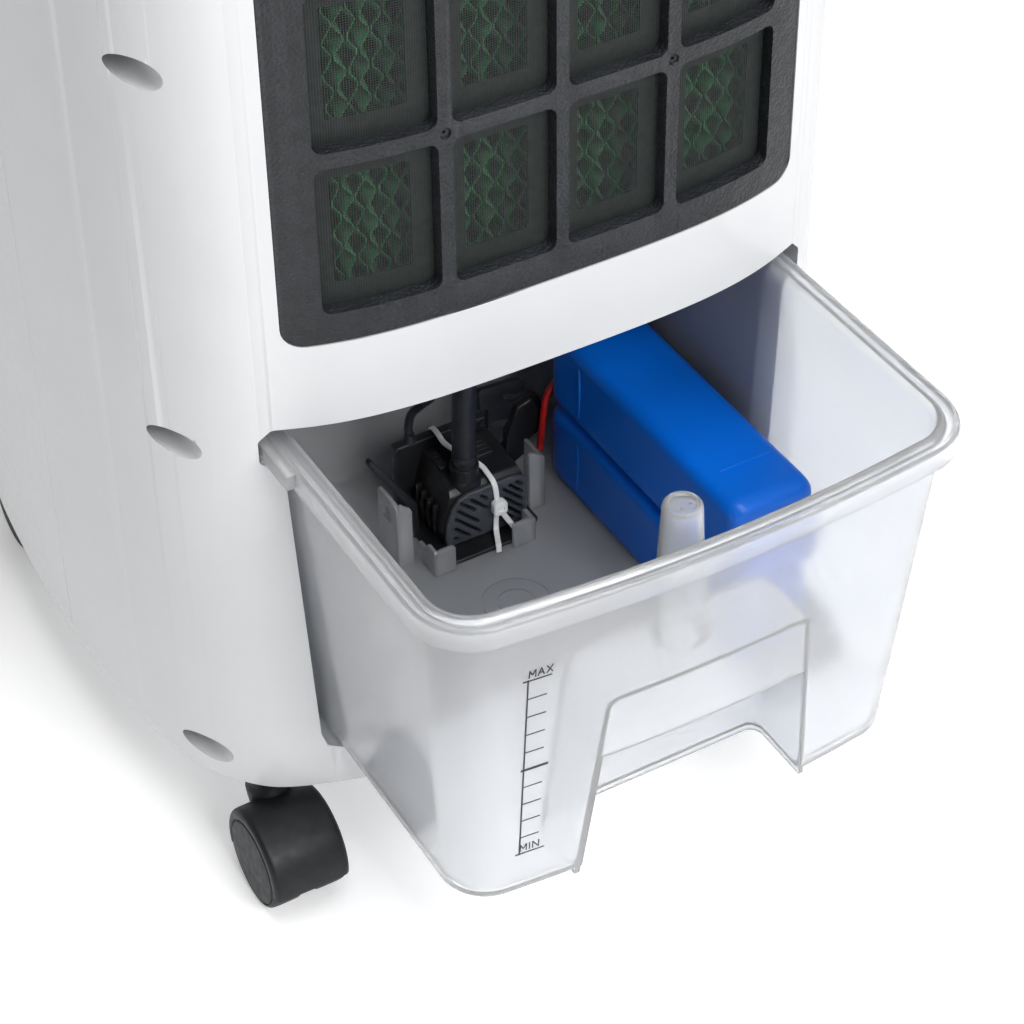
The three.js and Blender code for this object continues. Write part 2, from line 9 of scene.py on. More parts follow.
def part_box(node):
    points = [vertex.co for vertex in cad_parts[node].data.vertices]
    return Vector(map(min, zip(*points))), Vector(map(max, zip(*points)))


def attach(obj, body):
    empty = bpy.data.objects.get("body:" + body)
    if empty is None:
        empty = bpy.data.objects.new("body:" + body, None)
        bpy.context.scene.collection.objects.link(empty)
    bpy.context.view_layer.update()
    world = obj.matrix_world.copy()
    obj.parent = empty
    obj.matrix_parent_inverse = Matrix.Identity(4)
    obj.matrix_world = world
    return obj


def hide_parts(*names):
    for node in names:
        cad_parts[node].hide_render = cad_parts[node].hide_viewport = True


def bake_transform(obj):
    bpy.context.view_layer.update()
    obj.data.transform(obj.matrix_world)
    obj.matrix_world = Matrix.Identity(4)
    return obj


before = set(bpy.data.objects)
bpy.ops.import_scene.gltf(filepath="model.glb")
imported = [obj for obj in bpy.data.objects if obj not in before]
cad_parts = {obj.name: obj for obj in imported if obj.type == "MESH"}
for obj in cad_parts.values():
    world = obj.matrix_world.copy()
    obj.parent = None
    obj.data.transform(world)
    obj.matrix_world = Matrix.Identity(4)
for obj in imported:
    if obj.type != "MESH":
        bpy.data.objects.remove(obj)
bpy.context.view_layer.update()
random.seed(7)

# ------------------------------------------------------------------ the model's own coordinates
# Shapes are written in millimetres with y = 0 at the crown of the rear face and z = 0 on the floor,
# and are carried into the frame (metres) by Y0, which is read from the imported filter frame.
Y0 = (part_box("filter_frame")[1].y + 0.0003) * 1000.0        # rear crown in the frame, mm
Z_BODY, Z_SHELL_TOP, Z_TOP = 60.0, 735.0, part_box("top_cover")[1].z * 1000.0
DEPTH, WALL, SEAM_Y = 384.0, 3.0, -178.0
Z_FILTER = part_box("filter_frame")[0].z * 1000.0
FILTER_HALF, ROWS, ROW_PITCH, WIN_H, WIN_FIRST = 130.0, 4, 80.4, 73.0, 15.0
FILTER_H = 2 * WIN_FIRST + (ROWS - 1) * ROW_PITCH + WIN_H
WIN_EDGES = [(-112.7, -59.0), (-52.4, -3.05), (3.05, 52.4), (59.0, 112.7)]
DRAWER_TOP, DRAWER_SILL = 282.3, 83.5
TANK_BOTTOM, TANK_RIM, TANK_WALL = 86.0, 275.0, 2.6
POCKET_TOP, LIP_Z = 196.0, 162.0


def to_frame(v):
    v = np.asarray(v, float).reshape(-1, 3)
    return np.stack([v[:, 0], v[:, 1] + Y0, v[:, 2]], 1) / 1000.0


# ------------------------------------------------------------------ mesh tools (all in mm until done())
COL = bpy.context.scene.collection


def mesh(name, verts, faces):
    me = bpy.data.meshes.new(name)
    me.from_pydata([tuple(map(float, p)) for p in verts], [], [tuple(int(i) for i in f) for f in faces])
    me.validate()
    me.update()
    o = bpy.data.objects.new(name, me)
    COL.objects.link(o)
    return o


def grid_faces(nr, nc, close_c=True, flip=False):
    f = []
    for r in range(nr - 1):
        for c in range(nc if close_c else nc - 1):
            d = (c + 1) % nc
            q = (r * nc + c, r * nc + d, (r + 1) * nc + d, (r + 1) * nc + c)
            f.append(q[::-1] if flip else q)
    return f


def loft(name, rings, caps=True):
    """Closed skin through rings of equal length, each counter-clockwise from +Z, bottom to top."""
    n = len(rings[0])
    v = [p for r in rings for p in r]
    f = grid_faces(len(rings), n)
    if caps:
        f.append(tuple(range(n))[::-1])
        f.append(tuple(range((len(rings) - 1) * n, len(rings) * n)))
    return mesh(name, v, f)


def prism(name, pts, axis, a, b):
    """pts are (u, v): for 'z' (x, y), for 'y' (x, z), for 'x' (y, z)."""
    pts = list(pts)
    area = sum(p[0] * q[1] - q[0] * p[1] for p, q in zip(pts, pts[1:] + pts[:1]))
    if area < 0:
        pts = pts[::-1]
    put = {"z": lambda u, v, w: (u, v, w), "y": lambda u, v, w: (u, w, v), "x": lambda u, v, w: (w, u, v)}[axis]
    n = len(pts)
    v = [put(u, w, a) for u, w in pts] + [put(u, w, b) for u, w in pts]
    f = grid_faces(2, n) + [tuple(range(n))[::-1], tuple(range(n, 2 * n))]
    if axis == "y":
        f = [q[::-1] for q in f]
    return mesh(name, v, f)


def box(x0, x1, y0, y1, z0, z1, name="b"):
    return prism(name, [(x0, y0), (x1, y0), (x1, y1), (x0, y1)], "z", z0, z1)


def circle(cx, cy, r, n=32, a0=0.0):
    return [(cx + r * math.cos(a0 + 2 * math.pi * i / n), cy + r * math.sin(a0 + 2 * math.pi * i / n)) for i in range(n)]


def cyl(axis, c, a, b, r, n=32, r2=None, name="c"):
    r2 = r if r2 is None else r2
    p0, p1 = circle(c[0], c[1], r, n), circle(c[0], c[1], r2, n)
    put = {"z": lambda u, v, w: (u, v, w), "y": lambda u, v, w: (u, w, v), "x": lambda u, v, w: (w, u, v)}[axis]
    v = [put(u, w, a) for u, w in p0] + [put(u, w, b) for u, w in p1]
    f = grid_faces(2, n) + [tuple(range(n))[::-1], tuple(range(n, 2 * n))]
    if axis == "y":
        f = [q[::-1] for q in f]
    return mesh(name, v, f)


def lathe(name, profile, n=48, axis="z", centre=(0, 0, 0)):
    """profile: (radius, along) from one end of the axis to the other, both ends at radius 0."""
    v, f = [], []
    ends = (profile[0], profile[-1])
    mid = profile[1:-1]
    put = {"z": lambda r, a, h: (r * math.cos(a), r * math.sin(a), h), "y": lambda r, a, h: (r * math.sin(a), h, r * math.cos(a)),
           "x": lambda r, a, h: (h, r * math.cos(a), r * math.sin(a))}[axis]
    for r, h in mid:
        for i in range(n):
            v.append(put(r, 2 * math.pi * i / n, h))
    f = grid_faces(len(mid), n)
    b, t = len(v), len(v) + 1
    v.append(put(0, 0, ends[0][1]))
    v.append(put(0, 0, ends[1][1]))
    for i in range(n):
        j = (i + 1) % n
        f.append((b, j, i))
        k = (len(mid) - 1) * n
        f.append((t, k + i, k + j))
    v = [(p[0] + centre[0], p[1] + centre[1], p[2] + centre[2]) for p in v]
    return fix_normals(mesh(name, v, f))


def round_rect(a0, a1, b0, b1, r, n=6):
    pts = []
    for x, y, s in ((a1 - r, b0 + r, -90), (a1 - r, b1 - r, 0), (a0 + r, b1 - r, 90), (a0 + r, b0 + r, 180)):
        for i in range(n + 1):
            t = math.radians(s + 90 * i / n)
            pts.append((x + r * math.cos(t), y + r * math.sin(t)))
    return pts


def catmull(points, steps):
    """Centripetal Catmull-Rom through the points, steps per span."""
    p = [np.array(q, float) for q in points]
    p = [2 * p[0] - p[1]] + p + [2 * p[-1] - p[-2]]
    out = []
    for i in range(1, len(p) - 2):
        a, b, c, d = p[i - 1], p[i], p[i + 1], p[i + 2]
        t0 = 0.0
        t1 = t0 + max(np.linalg.norm(b - a), 1e-6) ** 0.5
        t2 = t1 + max(np.linalg.norm(c - b), 1e-6) ** 0.5
        t3 = t2 + max(np.linalg.norm(d - c), 1e-6) ** 0.5
        for k in range(steps):
            t = t1 + (t2 - t1) * k / steps
            a1 = (t1 - t) / (t1 - t0) * a + (t - t0) / (t1 - t0) * b
            a2 = (t2 - t) / (t2 - t1) * b + (t - t1) / (t2 - t1) * c
            a3 = (t3 - t) / (t3 - t2) * c + (t - t2) / (t3 - t2) * d
            b1 = (t2 - t) / (t2 - t0) * a1 + (t - t0) / (t2 - t0) * a2
            b2 = (t3 - t) / (t3 - t1) * a2 + (t - t1) / (t3 - t1) * a3
            out.append((t2 - t) / (t2 - t1) * b1 + (t - t1) / (t2 - t1) * b2)
    out.append(p[-2])
    return out


def sweep(name, path, r, sides=20, cap=True, squash=None, radii=None):
    """Round tube along a path (list of points), with parallel-transport rings."""
    path = [np.array(q, float) for q in path]
    n = len(path)
    tan = [path[min(i + 1, n - 1)] - path[max(i - 1, 0)] for i in range(n)]
    tan = [t / np.linalg.norm(t) for t in tan]
    ref = np.array([1.0, 0, 0]) if abs(tan[0][0]) < 0.9 else np.array([0, 1.0, 0])
    u = np.cross(tan[0], ref)
    u /= np.linalg.norm(u)
    v, rings = [], []
    for i in range(n):
        u = u - tan[i] * np.dot(u, tan[i])
        u /= np.linalg.norm(u)
        w = np.cross(tan[i], u)
        rr = radii[i] if radii is not None else r
        for k in range(sides):
            a = 2 * math.pi * k / sides
            su, sw = squash or (1, 1)
            v.append(path[i] + rr * (su * math.cos(a) * u + sw * math.sin(a) * w))
    f = grid_faces(n, sides)
    if cap:
        f += [tuple(range(sides))[::-1], tuple(range((n - 1) * sides, n * sides))]
    return mesh(name, v, f)


def bake(o):
    dg = bpy.context.evaluated_depsgraph_get()
    me = bpy.data.meshes.new_from_object(o.evaluated_get(dg))
    old = o.data
    o.modifiers.clear()
    o.data = me
    bpy.data.meshes.remove(old)
    return o


def boolean(a, b, op, solver="MANIFOLD"):
    m = a.modifiers.new("b", "BOOLEAN")
    m.operation = op
    m.object = b
    m.solver = solver
    bake(a)
    if len(a.data.polygons) == 0:
        raise RuntimeError("empty boolean result on " + a.name + " with " + b.name)
    bpy.data.objects.remove(b)
    return a


def cut(a, *bs, solver="MANIFOLD"):
    for b in bs:
        boolean(a, b, "DIFFERENCE", solver)
    return a


def join(a, *bs, solver="MANIFOLD"):
    for b in bs:
        boolean(a, b, "UNION", solver)
    return a


def both(a, b, solver="MANIFOLD"):
    return boolean(a, b, "INTERSECT", solver)


def copy(o):
    c = o.copy()
    c.data = o.data.copy()
    COL.objects.link(c)
    return c


def rotate(o, axis, deg, about):
    m = Matrix.Translation(Vector(about)) @ Matrix.Rotation(math.radians(deg), 4, axis) @ Matrix.Translation(-Vector(about))
    o.data.transform(m)
    return o


def move(o, x, y, z):
    o.data.transform(Matrix.Translation(Vector((x, y, z))))
    return o


def fix_normals(o):
    bm = bmesh.new()
    bm.from_mesh(o.data)
    bmesh.ops.recalc_face_normals(bm, faces=bm.faces)
    bm.to_mesh(o.data)
    bm.free()
    return o


def tidy(o, dist=0.002, planar=None):
    """Merges near-equal vertices, but only as far as the skin stays closed."""
    for k in (dist, dist / 8, 0.0):
        bm = bmesh.new()
        bm.from_mesh(o.data)
        before = sum(1 for e in bm.edges if len(e.link_faces) != 2)
        if k:
            bmesh.ops.remove_doubles(bm, verts=bm.verts, dist=k)
            bmesh.ops.dissolve_degenerate(bm, edges=bm.edges, dist=k)
        after = sum(1 for e in bm.edges if len(e.link_faces) != 2)
        if after <= before or not k:
            if planar:
                bmesh.ops.dissolve_limit(bm, angle_limit=math.radians(planar), verts=bm.verts, edges=bm.edges, delimit=set())
            bmesh.ops.recalc_face_normals(bm, faces=bm.faces)
            bm.to_mesh(o.data)
            bm.free()
            return o
        bm.free()
    return o


def bevel_edges(o, test, width, segments=3):
    """Rounds the edges for which test(edge) is true."""
    bm = bmesh.new()
    bm.from_mesh(o.data)
    bm.normal_update()
    es = [e for e in bm.edges if len(e.link_faces) == 2 and test(e)]
    if es:
        bmesh.ops.bevel(bm, geom=es, offset=width, offset_type="OFFSET", segments=segments, profile=0.5, affect="EDGES", clamp_overlap=True)
    bmesh.ops.recalc_face_normals(bm, faces=bm.faces)
    bm.to_mesh(o.data)
    bm.free()
    return o


def sharp(deg):
    c = math.radians(deg)
    return lambda e: e.calc_face_angle(0) > c


def smooth(o, deg=32.0):
    me = o.data
    for p in me.polygons:
        p.use_smooth = True
    me.set_sharp_from_angle(angle=math.radians(deg))
    return o


def add_bevel(o, width, segments=2, deg=32.0, harden=True):
    """Bevel modifier, width in mm, on a piece already carried into the frame."""
    m = o.modifiers.new("edge", "BEVEL")
    m.width = width / 1000.0
    m.segments = segments
    m.limit_method = "ANGLE"
    m.angle_limit = math.radians(deg)
    m.harden_normals = harden
    m.use_clamp_overlap = True
    return o


def weighted(o):
    m = o.modifiers.new("wn", "WEIGHTED_NORMAL")
    m.keep_sharp = True
    m.weight = 50
    return o


def done(o, name, body, mat, replaces=(), deg=32.0, keep_normals=False):
    """Carries a mm mesh into the frame, names it, shades it, and rides it on its body."""
    me = o.data
    if not keep_normals:
        smooth(o, deg)
    n = len(me.vertices)
    co = np.zeros(n * 3)
    me.vertices.foreach_get("co", co)
    me.vertices.foreach_set("co", to_frame(co).ravel())
    me.update()
    o.name = name
    me.name = name
    me.materials.clear()
    me.materials.append(mat)
    if body:
        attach(o, body)
    if replaces:
        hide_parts(*replaces)
    return o


# ------------------------------------------------------------------ camera and light
cam = bpy.data.cameras.new("cam")
cam_o = bpy.data.objects.new("cam", cam)
COL.objects.link(cam_o)
az, el, roll = math.radians(150.742), math.radians(39.701), math.radians(-0.981)
back = Vector((math.sin(az) * math.cos(el), -math.cos(az) * math.cos(el), math.sin(el)))
right = Vector((math.cos(az), math.sin(az), 0))
up = back.cross(right)
r2 = right * math.cos(roll) + up * math.sin(roll)
u2 = up * math.cos(roll) - right * math.sin(roll)
rot = Matrix((r2, u2, back)).transposed()
cam_o.matrix_world = Matrix.Translation(Vector((0.513814, 0.979194, 1.050998))) @ rot.to_4x4()
cam.sensor_width = 36.0
cam.lens = 98.653
cam.shift_x = 0.01172
cam.shift_y = -0.05078
cam.clip_start = 0.05
cam.clip_end = 50.0
bpy.context.scene.camera = cam_o
bpy.context.scene.view_settings.view_transform = "Standard"
bpy.context.scene.view_settings.look = "None"

world = bpy.data.worlds.new("studio")
bpy.context.scene.world = world
world.use_nodes = True
world.node_tree.nodes["Background"].inputs[0].default_value = (1.0, 1.0, 1.0, 1)
world.node_tree.nodes["Background"].inputs[1].default_value = 0.25


def area(name, loc, target, size, power, size_y=None, color=(1, 1, 1)):
    l = bpy.data.lights.new(name, "AREA")
    l.energy = power
    l.color = color
    l.shape = "RECTANGLE"
    l.size = size
    l.size_y = size_y or size
    o = bpy.data.objects.new(name, l)
    COL.objects.link(o)
    o.location = loc
    o.rotation_mode = "QUATERNION"
    o.rotation_quaternion = (Vector(target) - Vector(loc)).to_track_quat("-Z", "Y")
    return o


area("key", (-0.25, 2.5, 2.0), (0, 0.1, 0.3), 1.5, 78)
area("fill", (-1.9, 1.3, 1.1), (0, 0.1, 0.35), 1.5, 1.0)
area("top", (0.0, 0.7, 2.6), (0, 0.15, 0.3), 1.3, 26)
area("front", (0.4, -2.4, 1.5), (0, 0, 0.4), 1.6, 4)

# ------------------------------------------------------------------ materials


def nodes_of(m):
    m.use_nodes = True
    nt = m.node_tree
    return nt, nt.nodes["Principled BSDF"]


def N(nt, kind, **kw):
    n = nt.nodes.new(kind)
    for k, v in kw.items():
        if k.startswith("i_"):
            n.inputs[int(k[2:])].default_value = v
        else:
            setattr(n, k, v)
    return n


def srgb(r, g, b):
    f = lambda c: c / 12.92 if c <= 0.04045 else ((c + 0.055) / 1.055) ** 2.4
    return (f(r / 255), f(g / 255), f(b / 255), 1.0)


def plastic(name, c1, c2, rough=(0.3, 0.4), scale=60.0, bump=None, spec=0.5, ior=1.48, edge_wear_and_highlight=0.0, transmission=0.0, detail_rough=220.0, sub=0.0, sub_radius=(1, 1, 1), sub_scale=0.005):
    """Moulded plastic: cloudy colour, uneven roughness, and a list of bump layers (kind, scale, strength, distance)."""
    m = bpy.data.materials.new(name)
    nt, bs = nodes_of(m)
    L = nt.links.new
    tc = N(nt, "ShaderNodeTexCoord")
    nz = N(nt, "ShaderNodeTexNoise")
    nz.inputs["Scale"].default_value = scale
    nz.inputs["Detail"].default_value = 4.0
    L(tc.outputs["Object"], nz.inputs["Vector"])
    ramp = N(nt, "ShaderNodeValToRGB")
    ramp.color_ramp.elements[0].position = 0.32
    ramp.color_ramp.elements[0].color = c1
    ramp.color_ramp.elements[1].position = 0.68
    ramp.color_ramp.elements[1].color = c2
    L(nz.outputs["Fac"], ramp.inputs["Fac"])
    colour = ramp.outputs["Color"]
    # Lightens the colour on convex edges found by pointiness: on the cooling pad this is a painted highlight on its
    # crests and front edges, on the black parts it is edge wear.
    if edge_wear_and_highlight:
        geo = N(nt, "ShaderNodeNewGeometry")
        wr = N(nt, "ShaderNodeMapRange")
        wr.inputs["From Min"].default_value = 0.52
        wr.inputs["From Max"].default_value = 0.62
        wr.inputs["To Max"].default_value = edge_wear_and_highlight
        L(geo.outputs["Pointiness"], wr.inputs["Value"])
        mx = N(nt, "ShaderNodeMix", data_type="RGBA")
        mx.inputs[7].default_value = tuple(min(1, 1.9 * c + 0.02) for c in c2[:3]) + (1,)
        L(wr.outputs["Result"], mx.inputs[0])
        L(colour, mx.inputs[6])
        colour = mx.outputs[2]
    L(colour, bs.inputs["Base Color"])
    rn = N(nt, "ShaderNodeTexNoise")
    rn.inputs["Scale"].default_value = detail_rough
    rn.inputs["Detail"].default_value = 3.0
    L(tc.outputs["Object"], rn.inputs["Vector"])
    mr = N(nt, "ShaderNodeMapRange")
    mr.inputs["From Min"].default_value = 0.3
    mr.inputs["From Max"].default_value = 0.7
    mr.inputs["To Min"].default_value = rough[0]
    mr.inputs["To Max"].default_value = rough[1]
    L(rn.outputs["Fac"], mr.inputs["Value"])
    L(mr.outputs["Result"], bs.inputs["Roughness"])
    bs.inputs["IOR"].default_value = ior
    bs.inputs["Specular IOR Level"].default_value = spec
    bs.inputs["Transmission Weight"].default_value = transmission
    if sub:
        bs.inputs["Subsurface Weight"].default_value = sub
        bs.inputs["Subsurface Radius"].default_value = sub_radius
        bs.inputs["Subsurface Scale"].default_value = sub_scale
    normal = None
    for kind, sc, strength, dist in bump or []:
        if kind == "voronoi":
            t = N(nt, "ShaderNodeTexVoronoi", feature="SMOOTH_F1")
            t.inputs["Scale"].default_value = sc
            t.inputs["Smoothness"].default_value = 0.35
            h = t.outputs["Distance"]
        else:
            t = N(nt, "ShaderNodeTexNoise")
            t.inputs["Scale"].default_value = sc
            t.inputs["Detail"].default_value = 2.0
            h = t.outputs["Fac"]
        L(tc.outputs["Object"], t.inputs["Vector"])
        b = N(nt, "ShaderNodeBump")
        b.inputs["Strength"].default_value = strength
        b.inputs["Distance"].default_value = dist
        L(h, b.inputs["Height"])
        if normal is not None:
            L(normal, b.inputs["Normal"])
        normal = b.outputs["Normal"]
    if normal is not None:
        L(normal, bs.inputs["Normal"])
    return m


M_WHITE = plastic("gloss_white", srgb(206, 207, 209), srgb(211, 212, 214), (0.16, 0.24), 9.0,
                  [("noise", 180.0, 0.05, 0.0006), ("noise", 1500.0, 0.03, 0.0001)], spec=0.5)
M_LINER = plastic("liner_grey", srgb(84, 90, 98), srgb(94, 100, 108), (0.4, 0.5), 25.0, [("noise", 900.0, 0.08, 0.0002)])
M_CHAR = plastic("charcoal_grain", srgb(20, 22, 26), srgb(30, 33, 37), (0.4, 0.52), 120.0,
                 [("voronoi", 620.0, 0.8, 0.0007), ("noise", 1500.0, 0.3, 0.0002)], spec=0.5, edge_wear_and_highlight=0.3)
M_BLACK = plastic("black_plastic", srgb(20, 21, 24), srgb(27, 28, 31), (0.36, 0.5), 90.0, [("noise", 2200.0, 0.15, 0.00012)], edge_wear_and_highlight=0.15)
M_CASTER = plastic("caster_black", srgb(15, 17, 20), srgb(22, 25, 28), (0.42, 0.56), 120.0, [("noise", 2600.0, 0.22, 0.00012)], spec=0.35, edge_wear_and_highlight=0.2)
M_PANEL = plastic("panel_gloss_black", srgb(24, 26, 29), srgb(29, 31, 34), (0.08, 0.14), 20.0, [("noise", 220.0, 0.03, 0.0004)])
M_BUTTON = plastic("button_grey", srgb(176, 180, 186), srgb(186, 190, 196), (0.3, 0.4), 50.0, [("noise", 1500.0, 0.08, 0.0001)])
M_HOSE = plastic("hose_rubber", srgb(24, 26, 32), srgb(34, 36, 42), (0.38, 0.52), 150.0, [("noise", 1400.0, 0.15, 0.0002)])
M_TIE = plastic("nylon_white", srgb(238, 239, 237), srgb(246, 247, 245), (0.35, 0.45), 80.0, [("noise", 1500.0, 0.1, 0.0001)], sub=0.2, sub_scale=0.002)
M_RED = plastic("lead_red", srgb(160, 18, 20), srgb(190, 26, 26), (0.3, 0.42), 160.0, [("noise", 1800.0, 0.1, 0.0001)])

# ------------------------------------------------------------------ plan outline of the housing


def sag(x):
    return -(x * x) / 6559.0 - 12.93 * (x / 130.0) ** 4


QUARTER = [(115, sag(115)), (127, sag(127)), (138, -18.8), (148.5, -24.6), (158, -33.5), (166, -44.8), (172.5, -57.5), (177.5, -72), (181.5, -91),
           (184.5, -116), (187, -150), (188, -181), (188, -203)]
half = [(x, sag(x)) for x in np.linspace(0, 127, 44)[:-1]]
half += [(min(float(p[0]), 188.0), float(p[1])) for p in catmull(QUARTER, 6)[6:-6]]
half = [p for p in half if p[1] > -184.0]
half_front = [(x, -DEPTH - y) for x, y in half][::-1]
right_side = half + half_front
left_side = [(-x, y) for x, y in right_side[1:-1]][::-1]
RING = np.array((right_side + left_side)[::-1], float)         # counter-clockwise


def ring_normals(p):
    t = np.roll(p, -1, 0) - np.roll(p, 1, 0)
    n = np.stack([t[:, 1], -t[:, 0]], 1)
    return n / np.linalg.norm(n, axis=1)[:, None]


RING_N = ring_normals(RING)


def outline(inset=0.0):
    return [tuple(q) for q in (RING - RING_N * inset)]


def skin_normal(xy):
    """(distance to the outline, unit normal of the outline) at each point."""
    a, b = RING, np.roll(RING, -1, 0)
    na, nb = RING_N, np.roll(RING_N, -1, 0)
    d = b - a
    l2 = (d ** 2).sum(1)
    out_d, out_n = np.empty(len(xy)), np.empty((len(xy), 2))
    for s in range(0, len(xy), 2000):
        q = xy[s:s + 2000]
        t = np.clip(((q[:, None] - a) * d).sum(2) / l2, 0, 1)
        near = a + t[..., None] * d
        dist = np.linalg.norm(q[:, None] - near, axis=2)
        k = dist.argmin(1)
        i = np.arange(len(q))
        n = na[k] * (1 - t[i, k][:, None]) + nb[k] * t[i, k][:, None]
        out_d[s:s + 2000] = dist[i, k]
        out_n[s:s + 2000] = n / np.linalg.norm(n, axis=1)[:, None]
    return out_d, out_n


def shade_skin(o, inset=0.0, deg=34.0, tol=0.12):
    """Exact outline normals on the faces that lie on the outer skin; elsewhere smooth by angle."""
    smooth(o, deg)
    me = o.data
    nl = len(me.loops)
    cn = np.zeros(nl * 3, np.float32)
    me.corner_normals.foreach_get("vector", cn)
    cn = cn.reshape(-1, 3)
    co = np.zeros(len(me.vertices) * 3)
    me.vertices.foreach_get("co", co)
    co = co.reshape(-1, 3)
    vi = np.zeros(nl, np.int32)
    me.loops.foreach_get("vertex_index", vi)
    pn = np.zeros(len(me.polygons) * 3, np.float32)
    me.polygons.foreach_get("normal", pn)
    pn = pn.reshape(-1, 3)
    pc = np.zeros(len(me.polygons) * 3, np.float32)
    me.polygons.foreach_get("center", pc)
    pc = pc.reshape(-1, 3)
    d, n = skin_normal(pc[:, :2].astype(float))
    dv, nv = skin_normal(co[:, :2])
    near = np.abs(dv - inset) < 0.03
    allv = np.array([all(near[v] for v in p.vertices) for p in me.polygons])
    skin = ((np.abs(pn[:, 2]) < 0.05) & (np.abs(d - inset) < tol) & ((pn[:, :2] * n).sum(1) > 0.98)) | (allv & (np.abs(pn[:, 2]) < 0.3) & ((pn[:, :2] * n).sum(1) > 0.5))
    for p, s in zip(me.polygons, skin):
        if s:
            for li in p.loop_indices:
                w = vi[li]
                cn[li] = (nv[w, 0], nv[w, 1], 0.0)
    me.normals_split_custom_set([tuple(map(float, q)) for q in cn])
    return o


def on_skin(p, tol=0.1):
    d, _ = skin_normal(np.array([[p[0], p[1]]]))
    return d[0] < tol


def skin_edge(o):
    """True for a sharp edge that bounds the outer skin."""
    def test(e):
        if e.calc_face_angle(0) < math.radians(35):
            return False
        m = (e.verts[0].co + e.verts[1].co) / 2
        return on_skin(m)
    return test


def slab(y0, y1, z0=0, z1=900, x=220):
    return box(-x, x, y0, y1, z0, z1)


plan_solid = prism("plan", outline(), "z", Z_BODY, Z_SHELL_TOP)
wall_solid = cut(prism("wall", outline(), "z", Z_BODY, Z_SHELL_TOP), prism("in", outline(WALL), "z", Z_BODY - 5, Z_SHELL_TOP + 5))


def drawer_hole(o=0.0):
    k = [(142.6 + o, 263 - o), (142.6 + o, 276), (137 + o, DRAWER_TOP + o), (-137 - o, DRAWER_TOP + o), (-142.6 - o, 276), (-142.6 - o, 263 - o),
         (-133 - o, 260 - o), (-126 - o, 94), (-123.6 - o, 86 - o / 2), (-117, DRAWER_SILL - o), (117, DRAWER_SILL - o), (123.6 + o, 86 - o / 2), (126 + o, 94), (133 + o, 260 - o)]
    return rounded(k, 3.0, 3)


def rounded(pts, r, n=4):
    """The polygon with each corner rounded by up to r."""
    out, m = [], len(pts)
    for i in range(m):
        a, b, c = (np.array(pts[(i + k) % m], float) for k in (-1, 0, 1))
        u, v = a - b, c - b
        lu, lv = np.linalg.norm(u), np.linalg.norm(v)
        u, v = u / lu, v / lv
        ang = math.acos(max(-1, min(1, float(u @ v))))
        if ang > math.radians(172):
            out.append(tuple(b))
            continue
        t = min(r / math.tan(ang / 2), lu * 0.45, lv * 0.45)
        rr = t * math.tan(ang / 2)
        p, q = b + u * t, b + v * t
        centre = b + (u + v) / np.linalg.norm(u + v) * (rr / math.sin(ang / 2))
        a0 = math.atan2(*(p - centre)[::-1])
        a1 = math.atan2(*(q - centre)[::-1])
        d = (a1 - a0 + math.pi) % (2 * math.pi) - math.pi
        for k in range(n + 1):
            th = a0 + d * k / n
            out.append((float(centre[0] + rr * math.cos(th)), float(centre[1] + rr * math.sin(th))))
    return out


rear = both(copy(wall_solid), slab(SEAM_Y + 0.2, 20))
lip = both(prism("lip", drawer_hole(3), "y", -32, -3), copy(plan_solid))
rear = join(rear, lip)
surround = both(prism("surround", round_rect(-FILTER_HALF - 3.5, FILTER_HALF + 3.5, Z_FILTER - 3.5, Z_FILTER + FILTER_H + 3.5, 13.5), "y", -22, -1.5), copy(plan_solid))
rear = join(rear, surround)
SCREW_X, SCREW_Z = 169.0, [75, 266, 457, 648]
for s in (1, -1):
    for z in SCREW_Z:
        boss = both(cyl("y", (s * SCREW_X, z), -104, -20, 9.6, 28), copy(plan_solid))
        rear = join(rear, boss)
for s in (1, -1):
    for z in SCREW_Z:
        rear = cut(rear, cyl("y", (s * SCREW_X, z), -101, 20, 7.0, 40))
rear = cut(rear, prism("hole", drawer_hole(), "y", -60, 20))
rear = cut(rear, prism("hole", round_rect(-FILTER_HALF - 0.5, FILTER_HALF + 0.5, Z_FILTER - 0.5, Z_FILTER + FILTER_H + 0.5, 10.5), "y", -60, 20))
rear = cut(rear, cyl("x", (-150, 106), -200, -150, 8.5, 28))
tidy(rear)
bevel_edges(rear, skin_edge(rear), 0.9, 3)
shade_skin(rear)
done(rear, "rear_shell_skin", "housing", M_WHITE, ["rear_shell"], keep_normals=True)

OUT_X, OUT_Z0, OUT_Z1 = 119.6, 560.4, 689.6
front = both(wall_solid, slab(-400, SEAM_Y - 0.2))
front = cut(front, prism("hole", round_rect(-OUT_X - 0.35, OUT_X + 0.35, OUT_Z0 - 0.35, OUT_Z1 + 0.35, 8.35), "y", -420, -330))
tidy(front)
bevel_edges(front, skin_edge(front), 0.9, 3)
shade_skin(front)
done(front, "front_shell_skin", "housing", M_WHITE, ["front_shell"], keep_normals=True)
bpy.data.objects.remove(plan_solid)

